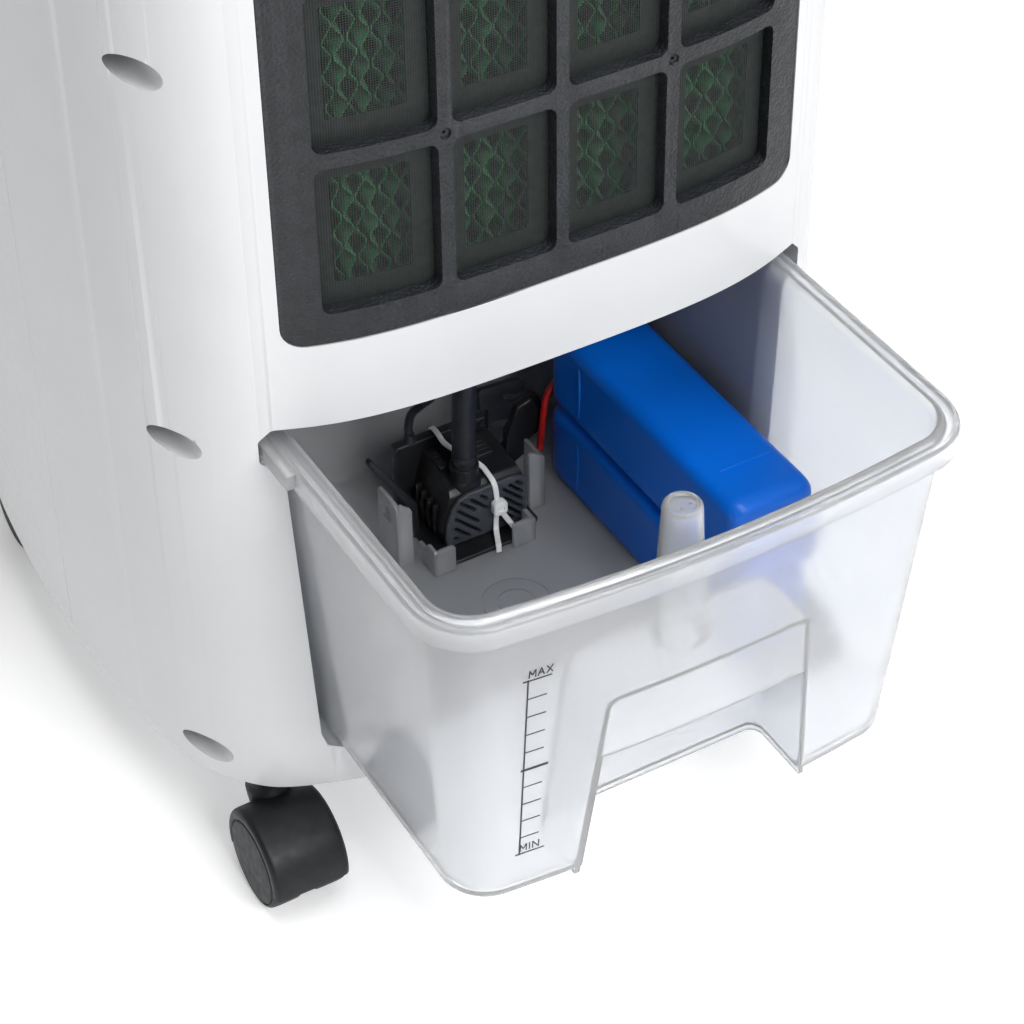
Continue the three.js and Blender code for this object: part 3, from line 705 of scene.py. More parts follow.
# ------------------------------------------------------------------ top cover, with a full-radius shoulder
prof = [(0.0, Z_SHELL_TOP + 0.35), (0.0, 752.0)]
for i in range(1, 13):
    t = math.radians(90 * i / 12)
    prof.append((16.0 * (1 - math.cos(t)), 752.0 + 18.0 * math.sin(t)))
cover = loft("cover", [[(x, y, z) for x, y in outline(i)] for i, z in prof])
inner_prof = [(WALL, Z_SHELL_TOP - 3), (WALL, 752.0), (6.0, 761.0), (14.0, 765.6), (20.0, Z_TOP - WALL)]
cover = cut(cover, loft("in", [[(x, y, z) for x, y in outline(i)] for i, z in inner_prof]))
cover = cut(cover, prism("hole", round_rect(-105, 105, -330, -262, 6), "z", 755, 790))
tidy(cover)
bevel_edges(cover, lambda e: e.calc_face_angle(0) > math.radians(50) and ((e.verts[0].co.z > 769.5 and e.verts[1].co.z > 769.5) or on_skin((e.verts[0].co + e.verts[1].co) / 2)), 0.7, 2)
done(cover, "top_cover_skin", "housing", M_WHITE, ["top_cover"], deg=30)

# ------------------------------------------------------------------ filter panel
def face_strip(half_w, front_off, thick, z0, z1, step=2.6):
    xs = np.linspace(-half_w, half_w, int(round(2 * half_w / step)) + 1)
    pts = [(float(x), sag(x) + front_off) for x in xs] + [(float(x), sag(x) + front_off - thick) for x in xs[::-1]]
    return prism("strip", pts, "z", z0, z1)


ff = face_strip(FILTER_HALF, -0.3, 7.0, Z_FILTER, Z_FILTER + FILTER_H)
ff = both(ff, prism("rr", round_rect(-FILTER_HALF, FILTER_HALF, Z_FILTER, Z_FILTER + FILTER_H, 10, 8), "y", -60, 20))


def taper(a, b, z0, z1, y_front, y_back, r=5.0, draft=0.9):
    f = round_rect(a - draft, b + draft, z0 - draft, z1 + draft, r + draft, 5)
    k = round_rect(a, b, z0, z1, r, 5)
    n = len(f)
    v = [(u, y_back, w) for u, w in k] + [(u, y_front, w) for u, w in f]
    q = [tuple(reversed(t)) for t in grid_faces(2, n)] + [tuple(range(n)), tuple(range(n, 2 * n))[::-1]]
    return fix_normals(mesh("taper", v, q))


for a, b in WIN_EDGES:
    ym = sag(max(abs(a), abs(b)))
    for r in range(ROWS):
        z = Z_FILTER + WIN_FIRST + r * ROW_PITCH
        ff = cut(ff, taper(a, b, z, z + WIN_H, 8.0, -52.0, 4.6, 0.0))
for x in (-55.7, 55.7):
    for r in (1, 3):
        z = Z_FILTER + WIN_FIRST + r * ROW_PITCH - (ROW_PITCH - WIN_H) / 2
        y = sag(x) - 0.3
        ff = cut(ff, lathe("dimple", [(0, -1.6), (1.7, -1.55), (2.3, -1.3), (2.7, 0.0), (3.0, 1.6), (0, 1.6)], 32, "y", (x, y, z)))
        ff = cut(ff, cyl("y", (x, z), y - 4, y + 2, 0.8, 16))
tidy(ff)


def face_sharp(e):
    if e.calc_face_angle(0) < math.radians(40):
        return False
    m = (e.verts[0].co + e.verts[1].co) / 2
    return m.y > sag(m.x) - 1.0


bevel_edges(ff, face_sharp, 0.9, 3)
smooth(ff, 34)


def shade_face(o, off, tol=0.1):
    me = o.data
    nl = len(me.loops)
    cn = np.zeros(nl * 3, np.float32)
    me.corner_normals.foreach_get("vector", cn)
    cn = cn.reshape(-1, 3)
    for p in me.polygons:
        c = p.center
        if p.normal.y > 0.8 and abs(p.normal.z) < 0.03 and abs(c.y - (sag(c.x) + off)) < tol:
            for li in p.loop_indices:
                x = me.vertices[me.loops[li].vertex_index].co.x
                g = 2 * x / 6559.0 + 4 * 12.93 * x ** 3 / 130.0 ** 4
                l = math.hypot(1, g)
                cn[li] = (g / l, 1 / l, 0.0)
    me.normals_split_custom_set([tuple(map(float, q)) for q in cn])


shade_face(ff, -0.3)
done(ff, "filter_frame_grained", "filter_panel", M_CHAR, ["filter_frame"], keep_normals=True)

# woven netting: real threads, upright ones in front of the level ones
M_NET = plastic("net_thread", srgb(34, 40, 38), srgb(46, 53, 50), (0.45, 0.6), 300.0, [("noise", 3000.0, 0.2, 0.0001)])
nv, nf = [], []


def thread(path, w, t):
    """Flat ribbon-like thread with four sides along a path in the x-z face, following the curve of the panel."""
    base = len(nv)
    for (x, y, z), (dx, dz) in path:
        nv.extend([(x - dx * w, y, z - dz * w), (x, y - t, z), (x + dx * w, y, z + dz * w), (x, y + t, z)])
    n = len(path)
    for i in range(n - 1):
        for k in range(4):
            m = (k + 1) % 4
            nf.append((base + 4 * i + k, base + 4 * i + m, base + 4 * i + 4 + m, base + 4 * i + 4 + k))
    nf.append((base, base + 3, base + 2, base + 1))
    e = base + 4 * (n - 1)
    nf.append((e, e + 1, e + 2, e + 3))


PITCH = 1.12
z_lo, z_hi = Z_FILTER + 8.5, Z_FILTER + FILTER_H - 8.5
for i in range(int(235 / PITCH)):
    x = -117.5 + i * PITCH
    y = sag(x) - 7.62
    thread([((x, y, z), (1, 0)) for z in (z_lo, z_hi)], 0.17, 0.13)
for i in range(int((z_hi - z_lo) / PITCH)):
    z = z_lo + 0.4 + i * PITCH
    thread([((x, sag(x) - 7.90, z), (0, 1)) for x in np.linspace(-117.5, 117.5, 24)], 0.17, 0.13)
net = fix_normals(mesh("net", nv, nf))
done(net, "filter_netting", "filter_panel", M_NET, ["filter_mesh"], deg=80)
# inner grid that the netting is stretched over: wider bars than the front ones
M_GRID = plastic("inner_grid", srgb(32, 36, 37), srgb(42, 46, 47), (0.45, 0.58), 120.0, [("noise", 1200.0, 0.2, 0.0002)], spec=0.4)
grid = both(face_strip(117.9, -8.35, 0.7, Z_FILTER + 8.2, Z_FILTER + FILTER_H - 8.2),
            prism("gr", round_rect(-117.9, 117.9, Z_FILTER + 8.2, Z_FILTER + FILTER_H - 8.2, 4, 5), "y", -60, 20))
for a, b in WIN_EDGES:
    for r in range(ROWS):
        z = Z_FILTER + WIN_FIRST + r * ROW_PITCH
        grid = cut(grid, prism("gw", round_rect(a + 9.5, b - 9.0, z + 10.5, z + WIN_H - 9.5, 1.5, 3), "y", -60, 20))
tidy(grid, 0.001)
done(grid, "filter_inner_grid", "filter_panel", M_GRID)

# ------------------------------------------------------------------ cooling pad: corrugated sheets that touch at their crests
# Pad paper: the pointiness lightening paints a highlight on the crests and front edges of the sheets.
M_PAD = plastic("pad_paper", srgb(24, 66, 38), srgb(74, 142, 94), (0.75, 0.92), 95.0, [("noise", 420.0, 0.5, 0.001), ("noise", 1900.0, 0.3, 0.0003)], spec=0.25, edge_wear_and_highlight=0.7)
pad_lo, pad_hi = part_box("cooling_pad")
px0, px1 = pad_lo.x * 1000 + 0.4, pad_hi.x * 1000 - 0.4
py0, py1 = pad_lo.y * 1000 - Y0 + 0.3, pad_hi.y * 1000 - Y0 - 0.3
pz0, pz1 = pad_lo.z * 1000 + 0.4, pad_hi.z * 1000 - 0.4
v, f = [], []
LAYERS, WAVE, AMP = 41, 15.5, 2.75
zs, ys = np.linspace(pz0, pz1, 118), np.linspace(py1, py0, 9)
pitch = (px1 - px0 - 2 * AMP - 0.6) / (LAYERS - 1)
for i in range(LAYERS):
    xc = px0 + AMP + 0.3 + i * pitch
    tilt = 1 if i % 2 else -1
    for side_x in (-0.22, 0.22):
        for y in ys:
            for z in zs:
                ph = 2 * math.pi * (z + tilt * 0.62 * (py1 - y)) / WAVE + (math.pi if i % 2 else 0.0)
                wob = 0.35 * math.sin(z * 0.13 + i * 1.7) + 0.2 * math.sin(z * 0.41 + i)
                v.append((xc + (AMP - 0.5) * math.sin(ph) + side_x + wob, y + (0.0 if y < py1 - 0.1 else -0.5 - 0.5 * math.sin(z * 0.9 + i * 2.1)), z))
    base, nz, ny = i * 2 * len(ys) * len(zs), len(zs), len(ys)
    idx = lambda s, a, b: base + (s * ny + a) * nz + b
    for a in range(ny - 1):
        for b in range(nz - 1):
            f.append((idx(0, a, b), idx(0, a, b + 1), idx(0, a + 1, b + 1), idx(0, a + 1, b)))
            f.append((idx(1, a, b), idx(1, a + 1, b), idx(1, a + 1, b + 1), idx(1, a, b + 1)))
    for b in range(nz - 1):
        f.append((idx(0, 0, b), idx(1, 0, b), idx(1, 0, b + 1), idx(0, 0, b + 1)))
        f.append((idx(0, ny - 1, b), idx(0, ny - 1, b + 1), idx(1, ny - 1, b + 1), idx(1, ny - 1, b)))
    for a in range(ny - 1):
        f.append((idx(0, a, 0), idx(0, a + 1, 0), idx(1, a + 1, 0), idx(1, a, 0)))
        f.append((idx(0, a, nz - 1), idx(1, a, nz - 1), idx(1, a + 1, nz - 1), idx(0, a + 1, nz - 1)))
pad = fix_normals(mesh("pad", v, f))
done(pad, "cooling_pad_corrugated", "housing", M_PAD, ["cooling_pad"], deg=50)

# ------------------------------------------------------------------ helpers for moulded parts
from mathutils.bvhtree import BVHTree


def corner_normals(o):
    me = o.data
    cn = np.zeros(len(me.loops) * 3, np.float32)
    me.corner_normals.foreach_get("vector", cn)
    return cn.reshape(-1, 3)


def inherit_normals(o, ref, deg=34.0, tol=0.03):
    """Faces of o that still lie on the smooth reference skin take its normals, so cuts leave no shading marks."""
    smooth(o, deg)
    smooth(ref, deg)
    rm = ref.data
    rn = corner_normals(ref)
    tris, tn = [], []
    co = [v.co.copy() for v in rm.vertices]
    rm.calc_loop_triangles()
    for t in rm.loop_triangles:
        tris.append(tuple(t.vertices))
        tn.append(tuple(t.loops))
    tree = BVHTree.FromPolygons(co, tris)
    me = o.data
    cn = corner_normals(o)
    for p in me.polygons:
        c = p.center
        hit = tree.find_nearest(c, 1.0)
        if hit[0] is None or (hit[0] - c).length > tol * 4 or hit[1].dot(p.normal) < 0.985:
            continue
        for li in p.loop_indices:
            q = me.vertices[me.loops[li].vertex_index].co
            inward = (q - c) * 0.02
            h = tree.find_nearest(q - inward, 1.0)
            if h[0] is None or (h[0] - q).length > tol * 10 + inward.length * 2:
                continue
            a, b, d = (co[i] for i in tris[h[2]])
            v0, v1, v2 = b - a, d - a, q - a
            d00, d01, d11, d20, d21 = v0.dot(v0), v0.dot(v1), v1.dot(v1), v2.dot(v0), v2.dot(v1)
            den = d00 * d11 - d01 * d01
            if abs(den) < 1e-12:
                continue
            w1 = min(1, max(0, (d11 * d20 - d01 * d21) / den))
            w2 = min(1, max(0, (d00 * d21 - d01 * d20) / den))
            w0 = max(0.0, 1 - w1 - w2)
            n = rn[tn[h[2]][0]] * w0 + rn[tn[h[2]][1]] * w1 + rn[tn[h[2]][2]] * w2
            l = np.linalg.norm(n)
            if l > 1e-6 and float(np.dot(n / l, np.array(p.normal))) > 0.9:
                cn[li] = n / l
    me.normals_split_custom_set([tuple(map(float, q)) for q in cn])
    return o


def rbox(x0, x1, y0, y1, z0, z1, r=0.5, seg=2):
    o = box(x0, x1, y0, y1, z0, z1)
    return bevel_edges(o, lambda e: True, min(r, 0.45 * min(x1 - x0, y1 - y0, z1 - z0)), seg)


def rprism(pts, axis, a, b, r=0.5, seg=2, corner=0.0):
    o = prism("rp", rounded(pts, corner, 4) if corner else pts, axis, a, b)
    return bevel_edges(o, sharp(50), r, seg)


def lerp(a, b, t):
    return a + (b - a) * t


# ------------------------------------------------------------------ water tank
def tank_ring(xh, yF, yR, rF, rR, z, bow=10.0, n=12):
    pts = []
    cx = xh - rF
    bow_at = lambda x: bow * (x / xh) ** 2
    yc = yF - bow_at(cx) - rF

    def arc(x, y, r, a0):
        for i in range(n + 1):
            t = math.radians(a0 + 90 * i / n)
            pts.append((x + r * math.cos(t), y + r * math.sin(t), z))
    arc(cx, yc, rF, 0)
    for i in range(1, 24):
        x = cx - 2 * cx * i / 24
        pts.append((x, yF - bow_at(x), z))
    arc(-cx, yc, rF, 90)
    for i in range(1, 6):
        pts.append((-xh, lerp(yc, yR + rR, i / 6), z))
    arc(-xh + rR, yR + rR, rR, 180)
    arc(xh - rR, yR + rR, rR, 270)
    for i in range(1, 6):
        pts.append((xh, lerp(yR + rR, yc, i / 6), z))
    return pts


def side(z, o):
    t = (z - 91) / (264 - 91)
    return lerp(119.3, 131, t) - o, lerp(120, 134.5, t) - o, lerp(-186, -192.5, t) + o


def ring_at(z, o, zz=None):
    x, f, r = side(z, o)
    t = (z - 91) / 173
    return tank_ring(x, f, r, max(8, lerp(24, 27, t) - o), max(6, 16 - o), z if zz is None else zz, lerp(8, 10, t))


def skirt(o, z):
    return tank_ring(136.6 - o, 140.9 - max(o, 0.02), -198 + o, 31 - o, 20 - o, z, 10.0)


W = TANK_WALL
levels = [ring_at(91, 5.5, 86.0), ring_at(91, 3.4, 86.4), ring_at(91, 1.7, 87.4), ring_at(91, 0.6, 89.0), ring_at(91.6, 0, 91.6)]
levels += [ring_at(z, 0) for z in (130, 170, 210, 250, 268, 271.0)]
levels += [skirt(2.3, 271.5), skirt(1.4, 266.0), skirt(0.8, 264.4), skirt(0.0, 263.8), skirt(-0.8, 263.9), skirt(-1.15, 264.8), skirt(-0.6, 269.0), skirt(-0.1, 272.2), skirt(0.35, 273.4), skirt(0.9, 274.3),
           skirt(1.6, 274.8), skirt(2.3, 274.7), skirt(3.0, 274.1), skirt(3.5, 273.2), skirt(4.1, 272.8), skirt(6.1, 272.8), skirt(6.8, 273.3), skirt(7.3, 274.3), skirt(7.9, 274.9),
           skirt(8.5, 275.0), skirt(9.2, 275.0), skirt(9.7, 274.7), skirt(10.0, 274.0), skirt(10.1, 269.0)]
levels += [ring_at(z, W) for z in (263, 230, 190, 150, 120, 97)]
levels += [ring_at(93, W + 0.7, 93.0), ring_at(92, W + 1.9, 90.4), ring_at(91, W + 3.4, 89.1), ring_at(91, W + 5.4, 88.6)]
bowl = fix_normals(loft("bowl", levels))
bowl_ref = copy(bowl)
FLOOR = TANK_BOTTOM + W


def block_ring(hx, y, z, r, o, n=8):
    """Plan of the grip pocket block: open towards the front, two rounded rear corners."""
    hx, y = hx - o, y + o
    pts = [(hx, 160, z)]
    pts += [(-hx, 160, z)]
    for i in range(n + 1):
        t = math.radians(180 + 90 * i / n)
        pts.append((-hx + r + r * math.cos(t), y + r + r * math.sin(t), z))
    for i in range(n + 1):
        t = math.radians(270 + 90 * i / n)
        pts.append((hx - r + r * math.cos(t), y + r + r * math.sin(t), z))
    return pts


def pocket_block(grow, z0, z1, fillet, r):
    rings = []
    for i in range(6):
        z = lerp(z0, z1 - fillet, i / 5)
        t = (z - 80) / (POCKET_TOP - 80)
        rings.append(block_ring(lerp(61, 50.5, t) + grow, lerp(79, 85.8, t) - grow, z, r, 0))
    t = (z1 - fillet - 80) / (POCKET_TOP - 80)
    for i in range(1, 7):
        a = math.radians(90 * i / 6)
        rings.append(block_ring(lerp(61, 50.5, t) + grow, lerp(79, 85.8, t) - grow, z1 - fillet + fillet * math.sin(a), max(r - fillet * (1 - math.cos(a)) * 0.8, 1.5), fillet * (1 - math.cos(a))))
    return fix_normals(loft("block", rings))


skin = pocket_block(W, 84.0, POCKET_TOP + W, 6.5, 9.0)
clip_vol = loft("cv", [ring_at(91, W - 1.2, 84.2), ring_at(262, W - 1.2), ring_at(262, W - 1.2, 290)])
skin = both(skin, clip_vol)
tank = join(bowl, skin)
void = pocket_block(0.0, 70.0, POCKET_TOP, 4.5, 7.0)
void_in = both(copy(void), loft("cv2", [ring_at(91, 6.5, 70), ring_at(91, W, 85), ring_at(262, W), ring_at(262, W, 290)]))
post = lathe("post", [(0, POCKET_TOP - 2.5), (14.2, POCKET_TOP - 2.5), (14.0, POCKET_TOP + W + 0.2), (12.9, POCKET_TOP + W + 1.6), (12.3, POCKET_TOP + W + 4.0), (11.9, 210), (9.15, 268.6), (8.7, 270.4), (7.9, 271.3),
                      (6.6, 271.6), (6.1, 271.2), (5.6, 270.5), (0, 270.3)], 48, "z", (2.0, 103.0, 0))
tank = join(tank, post)
tank = cut(tank, void_in)
tank = cut(tank, both(void, box(-75, 75, 60, 165, 66, LIP_Z)))
tank = cut(tank, lathe("bore", [(0, POCKET_TOP - 6), (9.6, POCKET_TOP - 6), (9.4, 210), (6.9, 266.0), (6.0, 267.6), (0, 267.8)], 40, "z", (2.0, 103.0, 0)))
for dx, dy in ((-3.1, 1.2), (2.7, 2.2)):
    tank = cut(tank, cyl("z", (2.0 + dx, 103.0 + dy), 269.4, 273, 0.75, 12))

# ribs and clips on the floor that locate the pump
F0 = FLOOR - 1.0
TALL = [(-125, F0), (-104.2, F0), (-104.2, 124.0), (-105.2, 127.6), (-107.5, 129.2), (-123.6, 129.6), (-125, 128.0)]
clips = [
    rprism(TALL, "x", 33.0, 35.4, 0.5, 2, 1.2),
    rprism([(26.4, F0), (34.0, F0), (34.0, 128.6), (32.4, 129.4), (27.6, 125.6), (26.4, 123.4)], "y", -106.6, -104.2, 0.5, 2, 0.8),
    rprism([(-107, F0), (-89, F0), (-89, 103.6), (-90.2, 104.8), (-97.0, 104.8), (-100.5, 100.2), (-107, 100.0)], "x", 20.2, 22.6, 0.5, 2, 1.0),
    rprism(round_rect(10.2, 21.8, F0 - 3, 104.8, 1.8, 4), "y", -91.0, -88.6, 0.5, 2),
    rprism([(-99, F0), (-88, F0), (-88, 103.2), (-97.4, 103.2), (-99, 101.6)], "x", -36.6, -34.2, 0.5, 2, 1.0),
    rprism(round_rect(-36.0, -23.5, F0 - 3, 103.8, 1.8, 4), "y", -90.4, -88.0, 0.5, 2),
    rprism([(-55.0, F0), (-45.6, F0), (-45.6, 124.4), (-47.0, 126.0), (-55.0, 121.0)], "y", -112.2, -109.7, 0.5, 2, 0.8),
    rbox(-55.0, -52.6, -128, -110.6, F0, 121.2),
]
for c in clips:
    tank = join(tank, c)
tank = cut(tank, rprism([(-120.5, 114), (-111.0, 114), (-111.0, 121.0), (-113.0, 123), (-120.5, 122)], "x", 30.5, 38, 0.3, 1, 1.0))
# round moulding mark on the floor
for r0, r1 in ((17.2, 18.0), (9.4, 9.9)):
    ringc = cut(cyl("z", (-4, -52), FLOOR - 0.45, FLOOR + 2, r1, 48), cyl("z", (-4, -52), FLOOR - 2, FLOOR + 4, r0, 48))
    tank = cut(tank, ringc)
# guide wings of the rim, which run in the notches of the opening
for s, y1 in ((1, 3.4), (-1, -30.0)):
    x0, x1 = sorted((s * 133.4, s * 141.4))
    tank = join(tank, rbox(x0, x1, -188.0, y1, 264.8, 273.4, 1.0, 3))
tidy(tank, 0.0015)
inherit_normals(tank, bowl_ref)
bpy.data.objects.remove(bowl_ref)


def frosted(name, tint, rough=(0.1, 0.15), trans=0.8, ior=1.36):
    m = plastic(name, tint, tuple(min(1, c * 1.03) for c in tint[:3]) + (1,), rough, 14.0, [], ior=ior, transmission=trans, detail_rough=90.0, sub=1.0, sub_scale=0.004)
    return m


M_TANK = frosted("frosted_polypropylene", (0.925, 0.948, 0.975, 1))
done(tank, "tank_frosted", "tank", M_TANK, ["tank"], keep_normals=True)

# level scale, printed on the front of the left leg: thin ink just proud of the wall
M_INK = plastic("ink_black", srgb(18, 18, 20), srgb(28, 28, 30), (0.5, 0.6), 200.0, [("noise", 2500.0, 0.1, 0.00005)])


def wall_point(u, z):
    """Point on the front skin of the tank at x = u (on the left corner radius where it turns), height z, and its plan normal."""
    x, f, r = side(z, 0)
    t = (z - 91) / 173
    rF, bow = lerp(24, 27, t), lerp(8, 10, t)
    cx = x - rF
    yc = f - bow * (cx / x) ** 2 - rF
    if u <= cx:
        g = 2 * bow * u / x ** 2
        l = math.hypot(1, g)
        return (u, f - bow * (u / x) ** 2), (g / l, 1 / l)
    s = min(0.999, (u - cx) / rF)
    return (u, yc + rF * math.sqrt(1 - s * s)), (s, math.sqrt(1 - s * s))


def ink_strip(a, b, w, n=10):
    """Closed thin strip between two (u, z) points on the wall, w mm wide."""
    v = []
    d = np.array([b[0] - a[0], b[1] - a[1]], float)
    d /= np.linalg.norm(d)
    side_v = np.array([-d[1], d[0]]) * w / 2
    for i in range(n + 1):
        c = np.array(a, float) + (np.array(b, float) - np.array(a, float)) * i / n
        for sgn in (1, -1):
            q = c + side_v * sgn
            (px, py), (nx, ny) = wall_point(q[0], q[1])
            v.append((px + nx * 0.02, py + ny * 0.02, q[1]))
            v.append((px + nx * 0.12, py + ny * 0.12, q[1]))
    f = []
    for i in range(n):
        k, m = 4 * i, 4 * i + 4
        f += [(k, k + 1, m + 1, m), (k + 1, k + 3, m + 3, m + 1), (k + 3, k + 2, m + 2, m + 3), (k + 2, k, m, m + 2)]
    f += [(0, 2, 3, 1), (4 * n, 4 * n + 1, 4 * n + 3, 4 * n + 2)]
    return mesh("ink", v, f)


STROKES = {"M": [((0, 0), (0, 1)), ((0, 1), (0.5, 0.35)), ((0.5, 0.35), (1, 1)), ((1, 1), (1, 0))], "A": [((0, 0), (0.5, 1)), ((0.5, 1), (1, 0)), ((0.2, 0.38), (0.8, 0.38))],
           "X": [((0, 0), (1, 1)), ((0, 1), (1, 0))], "I": [((0.5, 0), (0.5, 1))], "N": [((0, 0), (0, 1)), ((0, 1), (1, 0)), ((1, 0), (1, 1))]}
Z_MAX, Z_MIN, X_AX = 230.0, 114.6, 92.6
marks = [ink_strip((X_AX, Z_MIN - 0.6), (X_AX, Z_MAX + 0.6), 0.75, 30), ink_strip((95.0, Z_MAX), (81.6, Z_MAX), 0.75), ink_strip((94.6, Z_MIN), (80.4, Z_MIN), 0.75)]
for i in range(1, 10):
    z = Z_MAX + (Z_MIN - Z_MAX) * i / 10
    end, w = (81.0, 1.5) if i == 5 else (83.5, 0.65)
    marks.append(ink_strip((X_AX + (1.4 if i == 5 else 0), z), (end, z), w))
for word, z in (("MAX", Z_MAX + 1.6), ("MIN", Z_MIN + 1.6)):
    x = 92.2
    for ch in word:
        wd = 0.9 if ch == "I" else 2.9
        for (u0, v0), (u1, v1) in STROKES[ch]:
            marks.append(ink_strip((x - u0 * wd, z + v0 * 4.6), (x - u1 * wd, z + v1 * 4.6), 0.6, 3))
        x -= wd + 1.1
ink = marks[0]
for o in marks[1:]:
    ink = join(ink, o)
done(ink, "tank_level_marks", "tank", M_INK, deg=20)

# ------------------------------------------------------------------ ice packs: blow-moulded, softly pillowed bottles
def super_ring(x0, x1, z0, z1, r, y, inset, n=10, belly=0.0):
    pts = []
    for px, pz in round_rect(x0 + inset, x1 - inset, z0 + inset, z1 - inset, max(1.5, r - inset * 0.4), n):
        cx, cz = (x0 + x1) / 2, (z0 + z1) / 2
        ux, uz = (px - cx) / ((x1 - x0) / 2), (pz - cz) / ((z1 - z0) / 2)
        pts.append((px - belly * ux * (1 - uz * uz), y, pz - belly * uz * (1 - ux * ux)))
    return pts


def densify(ring, step):
    out = []
    for a, b in zip(ring, ring[1:] + ring[:1]):
        a, b = np.array(a), np.array(b)
        k = max(1, int(np.linalg.norm(b - a) / step))
        out += [tuple(a + (b - a) * i / k) for i in range(k)]
    return out


M_ICE = plastic("ice_pack_blue", srgb(0, 98, 208), srgb(3, 108, 220), (0.29, 0.33), 5.0, [], ior=1.46, spec=0.4, detail_rough=8.0)
for i, (x0, x1, z0, z1) in enumerate(((-116.4, -69.4, FLOOR + 0.35, 136.9), (-118.0, -70.0, 137.4, 186.6)), 1):
    ys = [(-132.0, 6.0), (-131.6, 4.2), (-130.2, 2.3), (-128.0, 1.0), (-125.0, 0.3), (-121.0, 0.0)] + [(y, 0.0) for y in np.linspace(-112, 26, 24)] + [(31.0, 0.0), (34.0, 0.3), (36.6, 1.0), (38.4, 2.2), (39.6, 4.2), (40.0, 6.4)]
    base = [densify(super_ring(x0, x1, z0, z1, 7.5, 0, 0.0), 3.0)][0]
    nb = len(base)
    verts = []
    for y, ins in ys:
        for (px, _, pz) in base:
            cx, cz = (x0 + x1) / 2, (z0 + z1) / 2
            hx, hz = (x1 - x0) / 2, (z1 - z0) / 2
            sx, sz = (hx - ins) / hx, (hz - ins) / hz
            ux, uz = (px - cx) / hx, (pz - cz) / hz
            t = max(0.0, min(1.0, (y + 124) / 18, (33 - y) / 18))
            dish = 1.1 * t * (3 - 2 * t) * t
            wob = 0.16 * math.sin(y * 0.11 + i * 2.0 + 3 * ux) * t
            verts.append((cx + ux * hx * sx - ux * abs(ux) * (dish + wob) * (1 - uz * uz) ** 1.5 * 0.8, y, cz + uz * hz * sz - uz * abs(uz) * (dish + wob) * (1 - ux * ux) ** 1.5))
    faces = grid_faces(len(ys), nb)
    faces += [tuple(range(nb))[::-1], tuple(range((len(ys) - 1) * nb, len(ys) * nb))]
    pack = fix_normals(mesh("pack", verts, faces))
    # moulding marks: a short upright weld line on the left face, a cross rib on top
    pack = join(pack, rbox(x1 - 2.5, x1 - 0.15, -103.0, -101.2, z0 + 8.0, z1 - 9.0, 0.6, 2))
    pack = join(pack, rbox(x0 + 7, x1 - 11, 9.0, 10.6, z1 - 3.0, z1 - 0.2, 0.5, 2))
    # sunk panel on the front face
    panel = rprism(round_rect(x0 + 10, x1 - 10, z0 + 10, z1 - 10, 5, 5), "y", 39.35, 44, 0.3, 2)
    pack = cut(pack, panel)
    tidy(pack, 0.001)
    done(pack, f"ice_pack_{i}_moulded", "ice_packs", M_ICE, [f"ice_pack_{i}"], deg=42)

# ------------------------------------------------------------------ pump, its hose, lead, tie and bracket
PZ = FLOOR + 0.4
M_GRILLE = plastic("grille_grey", srgb(58, 62, 68), srgb(68, 72, 78), (0.4, 0.52), 90.0, [("noise", 1800.0, 0.15, 0.00012)])
tray = rprism(round_rect(-33.8, 16.5, -148.0, -91.2, 3.0, 5), "z", PZ, PZ + 2.4, 0.7, 3)
tray = join(tray, rprism(round_rect(-45.2, -31.0, -118, -99.4, 2.0, 4), "z", PZ, PZ + 2.3, 0.6, 2))
tray = join(tray, rprism([(14.2, PZ + 1.2), (18.4, PZ + 1.2), (19.2, 110.0), (42.4, 149.4), (41.4, 151.4), (39.6, 151.2), (15.6, 113.0)], "y", -123.4, -119.4, 0.8, 3))
tidy(tray, 0.001)
done(tray, "pump_base_moulded", "tank", M_BLACK, ["pump_base"], deg=38)

GR = [(7.6, 92.2), (8.4, 96.0), (8.6, 99.0), (7.3, 107.5), (4.7, 115.9), (0.5, 120.8), (-4.9, 122.8), (-13.1, 123.1), (-22.0, 123.4), (-31.0, 123.4), (-36.9, 121.6), (-39.3, 118.0), (-39.5, 112.4), (-39.4, 94.0), (-38.0, 92.2)]
chamber = prism("ch", rounded([(-139.5, PZ + 2.8), (-104.9, PZ + 2.8), (-104.9, PZ + 32.4), (-108, PZ + 35.6), (-124, PZ + 39.4), (-139.5, PZ + 40.4)], 3.5, 6), "x", -39, 8.9)
chamber = both(chamber, prism("cs", rounded([(-38.6, PZ), (7.6, PZ), (8.7, PZ + 10), (7.4, PZ + 18.5), (4.8, PZ + 30), (0.5, PZ + 44), (-35, PZ + 44), (-38.6, PZ + 30)], 5.0, 6), "y", -142, -104))
tidy(chamber, 0.001)
bevel_edges(chamber, sharp(50), 1.0, 3)
plate = rprism(rounded([(-36.2, PZ + 2.8), (17.0, PZ + 2.8), (17.0, PZ + 46.8), (-36.2, PZ + 46.8)], 1.6, 4), "y", -144.6, -138.6, 0.8, 3)
pump = join(chamber, plate)
collar = lathe("collar", [(0, 114), (8.6, 114), (8.5, 124.8), (8.2, 126.6), (7.5, 127.4), (7.3, 132.6), (7.7, 133.0), (7.7, 134.6), (7.2, 135.1), (6.4, 135.2), (6.3, 132.5), (0, 132.5)], 48, "z", (-8.3, -112, 0))
collar = cut(collar, slab(-104.95, -90))
pump = join(pump, collar)
